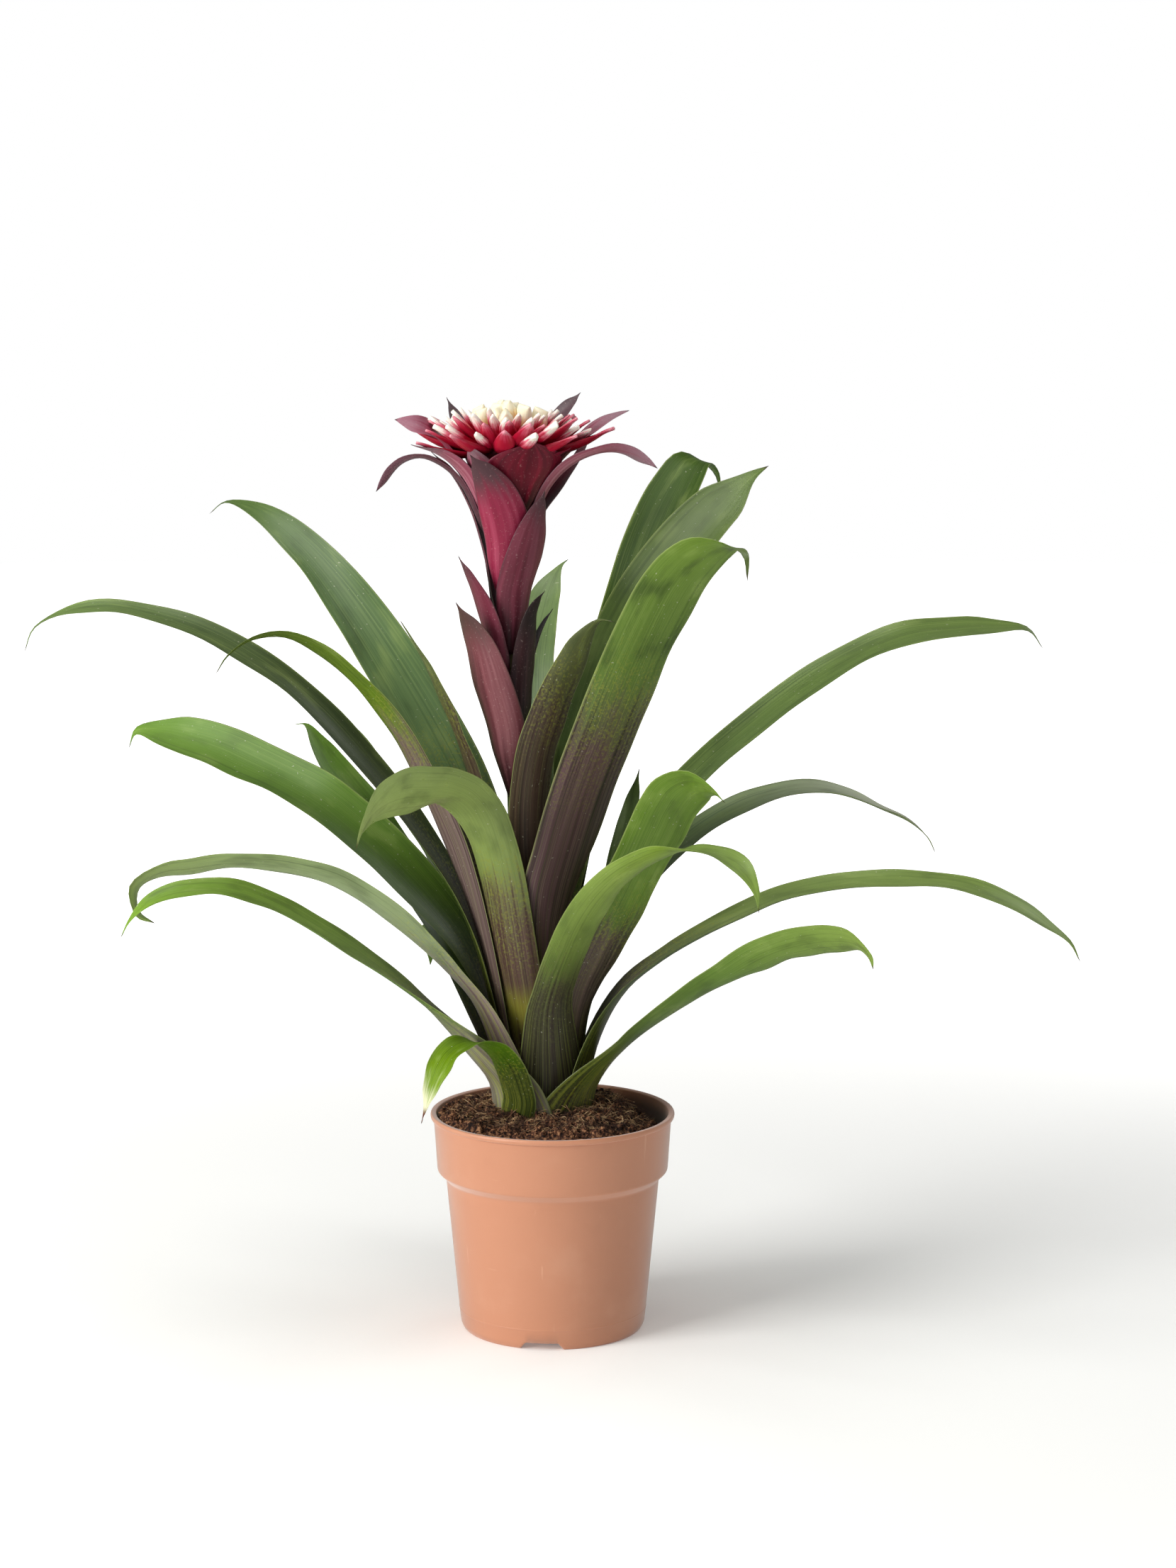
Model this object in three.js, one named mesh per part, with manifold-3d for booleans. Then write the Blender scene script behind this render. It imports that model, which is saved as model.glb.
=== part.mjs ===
// A potted guzmania: a rosette of strap leaves around one flower stalk, in a plastic nursery pot.
// Millimetres, +Z up, the origin under the middle of the pot on the surface that it stands on.
// +X is to the right and -Y is towards the viewer in the usual front view.
import * as THREE from 'three';
import { mergeVertices } from 'three/addons/utils/BufferGeometryUtils.js';
import Module from 'manifold-3d';

// Driving dimensions of the pot: a 12 cm nursery pot.
const POT_RADIUS = 60;
const POT_HEIGHT = 108;
const POT_WALL = 1.4;
const POT_SEGMENTS = 48;
const FOOT_RADIUS = 45.2;
const FOOT_HEIGHT = 4;
const FOOT_WIDTH = 2.6;
const LIP_HEIGHT = 2.6;
const BAND_HEIGHT = 26;
const BAND_CHAMFER = 4;
const NOTCH = { count: 3, width: 20, height: 3.6, first: 263.5 };
const DRAIN = { count: 6, radius: 4, ring: 31, turn: Math.PI / 6 };

// Driving dimensions of what grows in it.
const CLEARANCE = 0.3;
const SOIL_LEVEL = 104;
const CROWN = { radius: 29, floor: 90, rim: 99.5, top: 121, neck: 4.5 };
const SOIL_MOUND = 8;
const AXIS = { foot: -4, lean: 18, from: 121, rise: 289 };
const STALK = { radius: 3.5, top: 383 };
const FIRST_TIER = 7.6;
const TIER_STEP = 2.15;

// Colours as the eye reads them.
const COLOURS = {
  terracotta: 0xb5643f,
  peat: 0x3b2a20,
  stem: 0x8a8a4a,
  stalk: 0x6e7a3a,
  leaf: 0x4f7a2c,
  bractRed: 0xb5203a,
  bractBrown: 0x6a3a35,
  floral: 0xc23a3a,
  cream: 0xf2e9d0,
};

const plant = new THREE.Group();

const radians = THREE.MathUtils.degToRad;
const smoothstep = THREE.MathUtils.smoothstep;

// The plant leans to the left as it rises: this is the x of its middle line at a height.
function axisX(height) {
  const share = THREE.MathUtils.clamp((height - AXIS.from) / AXIS.rise, 0, 1);
  return AXIS.foot - AXIS.lean * Math.sin((share * Math.PI) / 2);
}

function addPiece(name, geometry, colour, roughness) {
  const material = new THREE.MeshStandardMaterial({ color: colour, roughness, metalness: 0 });
  const mesh = new THREE.Mesh(geometry, material);
  mesh.name = name;
  plant.add(mesh);
  return mesh;
}

// A lathe turns about Y, so it is stood up along Z.
function latheUpright(outline, segments) {
  const points = outline.map(([radius, height]) => new THREE.Vector2(radius, height));
  return new THREE.LatheGeometry(points, segments).rotateX(Math.PI / 2);
}

// Solids are joined and cut on meshes whose shared corners are merged.
const wasm = await Module();
wasm.setup();

function toSolid(geometry) {
  const bare = geometry.clone();
  bare.deleteAttribute('normal');
  bare.deleteAttribute('uv');
  const merged = mergeVertices(bare, 1e-4);
  const vertProperties = new Float32Array(merged.attributes.position.array);
  const triVerts = new Uint32Array(merged.index.array);
  return new wasm.Manifold(new wasm.Mesh({ numProp: 3, vertProperties, triVerts }));
}

function toGeometry(solid) {
  const mesh = solid.getMesh();
  const geometry = new THREE.BufferGeometry();
  geometry.setAttribute('position', new THREE.BufferAttribute(mesh.vertProperties, 3));
  geometry.setIndex(new THREE.BufferAttribute(mesh.triVerts, 1));
  geometry.computeVertexNormals();
  return geometry;
}

// Pot: one moulded wall with a bead at the lip, a deep band, a tapered body and a raised floor on
// a foot ring. The ring has notches and the floor has drain holes.
const BAND_TOP_RADIUS = POT_RADIUS - 1.7;
const BAND_FOOT_RADIUS = POT_RADIUS - 3.4;
const BODY_TOP_RADIUS = POT_RADIUS - 7.6;
const BAND_FOOT = POT_HEIGHT - LIP_HEIGHT - BAND_HEIGHT;
const BODY_TOP = BAND_FOOT - BAND_CHAMFER;
const FOOT_CORNER = 3;
const FOOT_RING_OUTER = FOOT_RADIUS - 1.2;
const POT_FLOOR = FOOT_HEIGHT + POT_WALL;
const EDGE = 0.3;
const LIP_EDGE = 0.5;

function potOutline() {
  const inner = POT_WALL;
  return [
    [0, FOOT_HEIGHT],
    [FOOT_RING_OUTER - FOOT_WIDTH, FOOT_HEIGHT],
    [FOOT_RING_OUTER - FOOT_WIDTH, 0],
    [FOOT_RING_OUTER, 0],
    [FOOT_RADIUS - EDGE, FOOT_CORNER / 2],
    [FOOT_RADIUS + EDGE, FOOT_CORNER],
    [BODY_TOP_RADIUS, BODY_TOP],
    [BAND_FOOT_RADIUS, BAND_FOOT],
    [BAND_TOP_RADIUS, POT_HEIGHT - LIP_HEIGHT],
    [POT_RADIUS - EDGE, POT_HEIGHT - LIP_HEIGHT],
    [POT_RADIUS, POT_HEIGHT - LIP_HEIGHT / 2],
    [POT_RADIUS - LIP_EDGE, POT_HEIGHT],
    [BAND_TOP_RADIUS - inner, POT_HEIGHT - LIP_EDGE],
    [BAND_FOOT_RADIUS - inner, BAND_FOOT + LIP_EDGE],
    [BODY_TOP_RADIUS - inner, BODY_TOP],
    [FOOT_RADIUS - inner, POT_FLOOR],
    [0, POT_FLOOR],
  ];
}

function aroundPot(count, turn, place) {
  return Array.from({ length: count }, (_, index) => place(turn + (index * 2 * Math.PI) / count));
}

function potNotch(angle) {
  const half = NOTCH.width / 2;
  const outline = new THREE.Shape([
    new THREE.Vector2(-half - NOTCH.height, -NOTCH.height),
    new THREE.Vector2(half + NOTCH.height, -NOTCH.height),
    new THREE.Vector2(half - NOTCH.height / 2, NOTCH.height),
    new THREE.Vector2(NOTCH.height / 2 - half, NOTCH.height),
  ]);
  const wedge = new THREE.ExtrudeGeometry(outline, { depth: 4 * FOOT_WIDTH, bevelEnabled: false });
  wedge.rotateX(Math.PI / 2).rotateZ(Math.PI / 2);
  return wedge.translate(FOOT_RADIUS - 3 * FOOT_WIDTH, 0, 0).rotateZ(angle);
}

function drainHole(angle) {
  const drill = new THREE.CylinderGeometry(DRAIN.radius, DRAIN.radius, 6 * POT_WALL, 16);
  drill.rotateX(Math.PI / 2);
  return drill.translate(DRAIN.ring * Math.cos(angle), DRAIN.ring * Math.sin(angle), FOOT_HEIGHT);
}

function potGeometry() {
  let solid = toSolid(latheUpright(potOutline(), POT_SEGMENTS));
  const cuts = [
    ...aroundPot(NOTCH.count, radians(NOTCH.first), potNotch),
    ...aroundPot(DRAIN.count, DRAIN.turn, drainHole),
  ];
  for (const cut of cuts) solid = solid.subtract(toSolid(cut));
  return toGeometry(solid);
}

// Soil: it fills the pot, with a hollow in the middle where the crown of the plant sits. Its top
// is heaped at the front and on the left, and sinks at the right towards the back.
const SOIL_HOLLOW = CROWN.radius + CLEARANCE;
const SOIL_EDGE_RADIUS = BAND_FOOT_RADIUS - POT_WALL - CLEARANCE;
const SOIL_SINK = 9;
const SOIL_SINK_TURN = radians(40);
const SOIL_SIDE_TOP = SOIL_LEVEL - 2;
// Radius and share of the heap's height, from its foot to its shoulder.
const SOIL_HEAP = [[50, 0], [42, 0.45], [35, 0.9]];

function soilOutline() {
  const wallGap = POT_WALL + CLEARANCE;
  const heap = SOIL_HEAP.map(([radius, share]) => [radius, SOIL_LEVEL + share * SOIL_MOUND]);
  return [
    [0, POT_FLOOR + CLEARANCE],
    [FOOT_RADIUS - wallGap - EDGE, POT_FLOOR + CLEARANCE],
    [BODY_TOP_RADIUS - wallGap - EDGE / 3, BODY_TOP],
    [SOIL_EDGE_RADIUS - EDGE, BAND_FOOT + CLEARANCE + LIP_EDGE],
    [SOIL_EDGE_RADIUS - EDGE, SOIL_SIDE_TOP],
    ...heap,
    [SOIL_HOLLOW - 2, SOIL_LEVEL + SOIL_MOUND],
    [0, SOIL_LEVEL + SOIL_MOUND],
  ];
}

function soilDrop(x, y) {
  const radius = Math.hypot(x, y);
  const facing = Math.max(0, Math.cos(Math.atan2(y, x) - SOIL_SINK_TURN));
  const reach = smoothstep(radius, SOIL_HOLLOW + 2, SOIL_EDGE_RADIUS - 4);
  return SOIL_SINK * facing * facing * reach;
}

function soilGeometry() {
  const geometry = latheUpright(soilOutline(), POT_SEGMENTS);
  const place = geometry.attributes.position;
  for (let i = 0; i < place.count; i += 1) {
    if (place.getZ(i) < SOIL_SIDE_TOP) continue;
    place.setZ(i, place.getZ(i) - soilDrop(place.getX(i), place.getY(i)));
  }
  const depth = 2 * (SOIL_LEVEL - CROWN.floor + CLEARANCE) + 2 * SOIL_MOUND;
  const hollow = new THREE.CylinderGeometry(SOIL_HOLLOW, SOIL_HOLLOW, depth, POT_SEGMENTS);
  hollow.rotateX(Math.PI / 2).translate(AXIS.foot, 0, SOIL_LEVEL + SOIL_MOUND);
  return toGeometry(toSolid(geometry).subtract(toSolid(hollow)));
}

// Crown: the short, squat stem that every leaf and the stalk grow from.
function crownHeight(radius) {
  const share = (CROWN.radius - radius) / (CROWN.radius - CROWN.neck);
  return CROWN.rim + (CROWN.top - CROWN.rim) * THREE.MathUtils.clamp(share, 0, 1);
}

function crownGeometry() {
  const outline = [
    [0, CROWN.floor],
    [CROWN.radius - 1, CROWN.floor],
    [CROWN.radius, CROWN.floor + 1],
    [CROWN.radius, CROWN.rim],
    [CROWN.neck, CROWN.top],
    [0, CROWN.top],
  ];
  return latheUpright(outline, POT_SEGMENTS).translate(AXIS.foot, 0, 0);
}

// Stalk: one round stem along the plant's leaning middle line.
class MiddleLine extends THREE.Curve {
  constructor(from, to) {
    super();
    this.from = from;
    this.to = to;
  }

  getPoint(share, target = new THREE.Vector3()) {
    const height = THREE.MathUtils.lerp(this.from, this.to, share);
    return target.set(axisX(height), 0, height);
  }
}

function stalkGeometry() {
  const section = new THREE.Shape().absarc(0, 0, STALK.radius, 0, 2 * Math.PI, false);
  return new THREE.ExtrudeGeometry(section, {
    steps: 24,
    curveSegments: 12,
    bevelEnabled: false,
    extrudePath: new MiddleLine(CROWN.top + 2 * CLEARANCE, STALK.top),
  });
}

// Flower head: the goblet under the buds, which the bracts of the head grow from.
const HEAD = [
  [0, 384],
  [3.6, 384],
  [5, 392],
  [9, 402],
  [13, 412],
  [18, 424],
  [20.5, 432],
  [20, 441],
  [16, 449],
  [8, 455],
  [0, 455],
];
const HEAD_SHIFT = axisX(420);

function headRadius(height) {
  const upper = HEAD.findIndex(([radius, level], index) => index > 1 && level > height && radius > 0);
  const [r0, z0] = HEAD[upper - 1];
  const [r1, z1] = HEAD[upper];
  return THREE.MathUtils.mapLinear(height, z0, z1, r0, r1);
}

function headGeometry() {
  return latheUpright(HEAD, 24).translate(HEAD_SHIFT, 0, 0);
}

// Blades: leaves and bracts are thin troughs swept along a line that starts on what carries them.
// Each section is an arc: at the foot it wraps the plant's middle line, further out it opens.
const MIDDLE_COLUMN = 0.4;
const MARGIN_THINNING = 0.45;
const TIP_THINNING = 0.35;
const FULL_WIDTH_FROM = 0.35;
const ROLL = { from: 0.12, to: 0.5 };
const TURN_SPAN = 0.35;
const CUP = { full: 0.15, flatterFrom: 0.6, flatter: 0.4 };
const COLUMNS = [-1, -MIDDLE_COLUMN, MIDDLE_COLUMN, 1];

function sectionPoint(frame, across, side) {
  const bend = frame.halfAngle * across;
  const radius = frame.halfWidth / frame.halfAngle;
  const thin = 0.5 * frame.thickness * (1 - MARGIN_THINNING * across * across);
  const lift = radius * (1 - Math.cos(bend)) + side * thin * Math.cos(bend);
  const offset = radius * Math.sin(bend) - side * thin * Math.sin(bend);
  return frame.centre.clone().addScaledVector(frame.across, offset).addScaledVector(frame.up, lift);
}

function sectionRing(frame) {
  const top = COLUMNS.map((across) => sectionPoint(frame, across, 1));
  const under = COLUMNS.map((across) => sectionPoint(frame, across, -1)).reverse();
  return [...top, ...under];
}

// Rings of equal count are skinned, closed by a strip at the foot and by a fan at the tip.
function skinRings(rings, tip) {
  const count = rings[0].length;
  const points = [...rings.flat(), tip];
  const last = (rings.length - 1) * count;
  const faces = [];
  for (let r = 0; r + 1 < rings.length; r += 1) {
    for (let i = 0; i < count; i += 1) {
      const a = r * count + i;
      const b = r * count + ((i + 1) % count);
      faces.push(a, b + count, b, a, a + count, b + count);
    }
  }
  for (let i = 0; i < count; i += 1) faces.push(last + ((i + 1) % count), last + i, points.length - 1);
  for (let i = 0; i + 1 < count / 2; i += 1) {
    const opposite = count - 1 - i;
    faces.push(i, opposite - 1, opposite, i, i + 1, opposite - 1);
  }
  const geometry = new THREE.BufferGeometry();
  geometry.setFromPoints(points);
  geometry.setIndex(faces);
  geometry.computeVertexNormals();
  return geometry;
}

// Width along a blade, as a share of its widest: from the foot's share to full, then narrowing
// from where the taper starts to a point.
function widthShare(share, spec) {
  const opening = THREE.MathUtils.lerp(spec.footShare, 1, smoothstep(share, 0, FULL_WIDTH_FROM));
  const along = Math.max(0, (share - spec.taperFrom) / (1 - spec.taperFrom));
  return opening * (1 - Math.pow(along, spec.taperPower));
}

function bladeFrame(curve, share, spec) {
  const centre = curve.getPointAt(share);
  const along = curve.getTangentAt(share);
  const across = new THREE.Vector3(-Math.sin(spec.azimuth), Math.cos(spec.azimuth), 0);
  across.addScaledVector(along, -across.dot(along)).normalize();
  const up = new THREE.Vector3().crossVectors(along, across);
  const turn = spec.tipTurn * smoothstep(share, spec.turnFrom, spec.turnFrom + TURN_SPAN);
  const roll = -spec.roll * smoothstep(share, ROLL.from, ROLL.to) - turn;
  across.applyAxisAngle(along, roll);
  up.applyAxisAngle(along, roll);
  const reach = Math.max(Math.hypot(centre.x - axisX(centre.z), centre.y), spec.footReach);
  const halfWidth = Math.min(0.5 * spec.width * widthShare(share, spec), spec.wrap * reach);
  const flattening = 1 - CUP.flatter * smoothstep(share, CUP.flatterFrom, 1);
  const cup = spec.cup * smoothstep(share, 0, CUP.full) * flattening;
  const halfAngle = Math.max(cup, halfWidth / reach);
  const thickness = spec.thickness * (1 - TIP_THINNING * share);
  return { centre, across, up, halfWidth, halfAngle, thickness };
}

// The line of a blade: its points are [reach from the middle line, height, step to the side].
function bladeCurve(azimuth, path) {
  const out = new THREE.Vector3(Math.cos(azimuth), Math.sin(azimuth), 0);
  const aside = new THREE.Vector3(-Math.sin(azimuth), Math.cos(azimuth), 0);
  const points = path.map(([reach, height, step = 0]) =>
    new THREE.Vector3(axisX(height), 0, height).addScaledVector(out, reach).addScaledVector(aside, step));
  return new THREE.CatmullRomCurve3(points, false, 'centripetal');
}

// The sections stand closer together towards the tip.
const CROWDING = 1.2;

function bladeGeometry(spec) {
  const curve = bladeCurve(spec.azimuth, spec.path);
  const rings = [];
  for (let i = 0; i < spec.stations; i += 1) {
    const share = 1 - Math.pow(1 - i / spec.stations, CROWDING);
    rings.push(sectionRing(bladeFrame(curve, share, spec)));
  }
  return skinRings(rings, curve.getPointAt(1));
}

// Leaves, from the innermost tier to the outermost. Azimuth 0 points right and 270 to the viewer.
// The tiers of one number share a circle on the crown.
const LEAVES = [
  { name: 'leaf_inner_front', tier: 0, azimuth: 282, width: 21, cup: 38, roll: 0,
    path: [[9, 150], [11, 204, 2], [16, 254, 2], [24, 286, 6], [31, 307, 12], [38, 331, 22],
      [45, 349, 30], [50, 355, 36], [54, 354, 41]] },
  { name: 'leaf_inner_back', tier: 0, azimuth: 72, width: 25, cup: 25, roll: 0,
    path: [[14, 200], [28, 270, 2], [50, 325, 6], [68, 351, 5], [82, 365, 3], [95, 371, 0]] },
  { name: 'leaf_inner_left', tier: 1, azimuth: 205, width: 16, cup: 30, roll: 0,
    path: [[10.5, 150], [12.5, 190], [17, 238], [23, 274], [31, 298], [45, 333], [56, 353]] },
  { name: 'leaf_right_front_upper', tier: 1, azimuth: 312, width: 35, cup: 28,
    roll: 18, footShare: 0.85, taper: [0.74, 4],
    path: [[12.5, 155], [17, 202, -1], [29, 233, 0.6], [49, 268, -1], [74, 308, -2], [99, 350],
      [121, 378], [142, 393], [160, 396], [165, 381]] },
  { name: 'leaf_right_back_upper', tier: 2, azimuth: 34, width: 33, cup: 26,
    roll: -30, footShare: 0.65, taper: [0.72, 4],
    path: [[14, 160], [25, 224], [47, 294], [64, 332], [84, 360], [108, 384], [130, 402], [146, 413],
      [157, 418]] },
  { name: 'leaf_left_upper', tier: 3, azimuth: 142, width: 34, cup: 22,
    roll: 30, footShare: 0.65, taper: [0.42, 2.3],
    path: [[16, 165], [24, 224], [39, 268], [55, 294], [72, 317], [90, 339], [112, 362], [137, 382],
      [163, 395], [184, 398], [196, 391]] },
  { name: 'leaf_front_left_arched', tier: 3, azimuth: 240.5, width: 28, cup: 25,
    roll: 0, tipTurn: -62, turnFrom: 0.46, taper: [0.74, 4],
    path: [[15, 150], [20, 195], [27.5, 240], [40.5, 263], [57, 273], [81, 277], [108, 279], [131, 273],
      [144, 260]] },
  { name: 'leaf_left_narrow', tier: 4, azimuth: 191.5, width: 20, cup: 35,
    roll: -28, footShare: 0.8, taper: [0.45, 2.4],
    path: [[19.6, 162], [26.2, 205], [33.8, 239], [45, 271], [60, 302], [77, 323], [94, 338], [111, 345],
      [131, 340], [142, 327]] },
  { name: 'leaf_back_right_upper', tier: 3, azimuth: 50.5, width: 29, cup: 26,
    roll: -18, footShare: 0.7, taper: [0.72, 4],
    path: [[17, 160], [25.5, 205], [43, 252], [70, 306], [90, 344, -1], [113, 376, 3], [137, 402, 6],
      [155, 418, 6], [168, 414, 5], [176, 399, 5]] },
  { name: 'leaf_right_long', tier: 4, azimuth: 10, width: 30, cup: 28,
    roll: -14, footShare: 0.8, taper: [0.76, 4],
    path: [[19, 150], [34, 203], [59, 236], [86, 268], [115, 291], [140, 309], [169, 326], [198, 337],
      [223, 340], [244, 341], [259, 340], [267, 330]] },
  { name: 'leaf_back_left_upper', tier: 4, azimuth: 120, width: 21, cup: 30, roll: 0,
    path: [[18, 145], [22, 175], [33, 208], [61, 250], [107, 286], [143, 313], [164, 329], [175, 326]] },
  { name: 'leaf_front_right_broad', tier: 5, azimuth: 318, width: 31, cup: 24,
    roll: 22, tipTurn: 20, taper: [0.74, 4],
    path: [[21, 142], [28, 166], [47, 196], [68, 226], [86, 251], [100, 271], [111, 280], [123, 280],
      [132, 275]] },
  { name: 'leaf_left_long', tier: 5, azimuth: 178, width: 24, cup: 30, roll: 22, taper: [0.48, 2.6],
    path: [[20.7, 150], [30.5, 206], [46, 239], [63, 266], [82, 290], [101, 311], [125, 330],
      [150, 344], [177, 353], [196, 356], [215, 353], [228, 347], [235, 333]] },
  { name: 'leaf_right_curled', tier: 5, azimuth: 22, width: 22, cup: 30, roll: -10,
    path: [[20.5, 140], [32, 172], [51, 203], [75, 227], [100, 243], [124, 253], [152, 258], [175, 255],
      [198, 245], [217, 234], [224, 221]] },
  { name: 'leaf_front_right_arched', tier: 6, azimuth: 285, width: 22, cup: 35,
    roll: 0, taper: [0.62, 3],
    path: [[23, 135], [31, 165], [47, 190, 5], [72, 218, 12], [97, 239, 22], [119, 252, 34],
      [140, 259, 46], [159, 257, 59], [170, 248, 65], [171, 235, 66]] },
  { name: 'leaf_left_broad', tier: 6, azimuth: 164, width: 32, cup: 25,
    roll: 28, footShare: 0.8, taper: [0.74, 4],
    path: [[23.6, 150], [36, 190], [54, 214], [78, 239], [105, 260], [131, 272], [156, 282], [178, 287],
      [195, 289], [202, 279]] },
  { name: 'leaf_back_right_low', tier: 6, azimuth: 45, width: 17, cup: 30, roll: 0,
    path: [[28, 150], [44, 180], [62, 212], [76, 246], [85, 269]] },
  { name: 'leaf_back_left_middle', tier: 7, azimuth: 127, width: 15, cup: 30, roll: 0,
    path: [[25, 140], [34, 167], [54, 200], [84, 231], [116, 255], [142, 277], [160, 287], [168, 284]] },
  { name: 'leaf_right_lower', tier: 7, azimuth: 356, width: 23, cup: 28, roll: -10, taper: [0.76, 4],
    path: [[24, 130], [41, 165], [67, 187], [96, 203], [124, 216], [152, 222], [180, 224], [203, 223],
      [229, 216], [250, 204], [261, 196], [266, 186]] },
  { name: 'leaf_left_low', tier: 7, azimuth: 194, width: 22, cup: 30, roll: -30, taper: [0.76, 4],
    path: [[23, 130], [30, 162], [48, 187], [70, 210], [93, 226], [116, 233], [140, 236], [164, 234],
      [185, 231], [190, 218], [181, 210]] },
  { name: 'leaf_left_lowest', tier: 8, azimuth: 203, width: 23, cup: 28, roll: 22, taper: [0.5, 2.6],
    path: [[27, 124], [39, 142], [58, 166], [83, 188], [104, 203.5], [124, 217], [143, 226], [162, 230],
      [184, 228], [196, 221], [204, 210]] },
  { name: 'leaf_right_low', tier: 8, azimuth: 338, width: 25, cup: 28,
    roll: 17, tipTurn: 26, turnFrom: 0.4, footShare: 0.8, taper: [0.72, 4],
    path: [[26, 122], [44, 143], [72, 164], [101, 182.5], [130, 198], [155, 204], [171, 202], [175, 192]] },
  { name: 'leaf_back_left_folded', tier: 8, azimuth: 147, width: 24, cup: 30, roll: 10,
    path: [[27, 128], [39, 160], [52, 190], [71, 219], [94, 250], [115, 274], [127, 290], [134, 289]] },
  { name: 'leaf_back_right_drooping', tier: 8, azimuth: 87, width: 25, cup: 26, roll: 0,
    path: [[28, 130], [50, 170], [84, 198], [118, 208], [142, 200], [152, 184]] },
  { name: 'leaf_front_small', tier: 9, azimuth: 238, width: 20, cup: 24, roll: 0, taper: [0.4, 2.2],
    path: [[28.5, 116, 3], [37, 136, 5], [47, 148, 4], [59, 154], [71, 149, -6], [79, 136, -10],
      [84, 117, -15.5]] },
  { name: 'leaf_back_left_drooping', tier: 9, azimuth: 112, width: 24, cup: 26, roll: 0,
    path: [[30, 125], [54, 154], [90, 174], [122, 178], [146, 168], [158, 150]] },
];

// Half of the room that a blade's foot has on its circle, so that neighbours stay apart.
function footWrap(row, circle) {
  const gaps = circle.filter((other) => other !== row).map((other) => {
    const apart = Math.abs(other.azimuth - row.azimuth) % 360;
    return Math.min(apart, 360 - apart);
  });
  return radians(Math.min(72, Math.min(180, ...gaps) / 2 - 4));
}

function leafSpec(row) {
  const thickness = 1.1;
  const footReach = FIRST_TIER + TIER_STEP * row.tier;
  const footShare = row.footShare ?? 0.95;
  const wrap = footWrap(row, LEAVES.filter((other) => other.tier === row.tier));
  const footAngle = Math.min(wrap, (0.5 * row.width * footShare) / footReach);
  const footInside = (footReach - thickness / 2) * Math.cos(MIDDLE_COLUMN * footAngle);
  const footHeight = crownHeight(footInside) + CLEARANCE;
  const upright = [0, 3, 7].map((rise) => [footReach, footHeight + rise]);
  return {
    azimuth: radians(row.azimuth),
    path: [...upright, ...row.path],
    width: row.width,
    cup: radians(row.cup),
    roll: radians(row.roll),
    tipTurn: radians(row.tipTurn ?? 0),
    turnFrom: row.turnFrom ?? 0.6,
    wrap,
    footReach,
    footShare,
    taperFrom: row.taper?.[0] ?? 0.58,
    taperPower: row.taper?.[1] ?? 3.6,
    thickness,
    stations: 16,
  };
}

// Bracts of the stalk: each clasps the stalk at its foot and stands away from it.
const STALK_BRACTS = [
  { name: 'stalk_bract_front_left_low', azimuth: 230, foot: 264, width: 30,
    path: [[9, 280], [12.5, 299], [17, 319, -1], [22, 341, -2], [29.5, 361, -7]] },
  { name: 'stalk_bract_back_low', azimuth: 75, foot: 280, width: 15,
    path: [[9, 296], [14, 316], [22, 338], [30, 352]] },
  { name: 'stalk_bract_front_right_low', azimuth: 309, foot: 290, width: 15,
    path: [[8.5, 304], [11, 321], [15.5, 342], [19.5, 359, 2], [23.5, 366, 5]] },
  { name: 'stalk_bract_right', azimuth: 18, foot: 300, width: 12,
    path: [[8, 314], [12, 332], [17, 346], [23, 355]] },
  { name: 'stalk_bract_left', azimuth: 205, foot: 314, width: 24,
    path: [[9.5, 330], [13, 348], [17, 364], [25, 382]] },
  { name: 'stalk_bract_front_right', azimuth: 306, foot: 334, width: 25,
    path: [[8.5, 350], [11.5, 364], [16.5, 380, 1], [22, 397, 2], [27, 414, 4]] },
  { name: 'stalk_bract_back', azimuth: 100, foot: 338, width: 17,
    path: [[9, 354], [14, 376], [25, 402], [38, 420]] },
  { name: 'stalk_bract_back_left', azimuth: 165, foot: 350, width: 14,
    path: [[7.8, 362], [10.3, 380], [16.3, 400], [27, 420], [38, 431]] },
  { name: 'stalk_bract_front', azimuth: 270, foot: 358, width: 25,
    path: [[8.5, 370], [12.5, 385, 1], [20, 402, -1], [28, 418, -7], [36, 432, -16]] },
  { name: 'stalk_bract_back_right', azimuth: 30, foot: 364, width: 15,
    path: [[8, 376], [14, 393], [28, 411], [40, 426], [49, 442]] },
];

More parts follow.
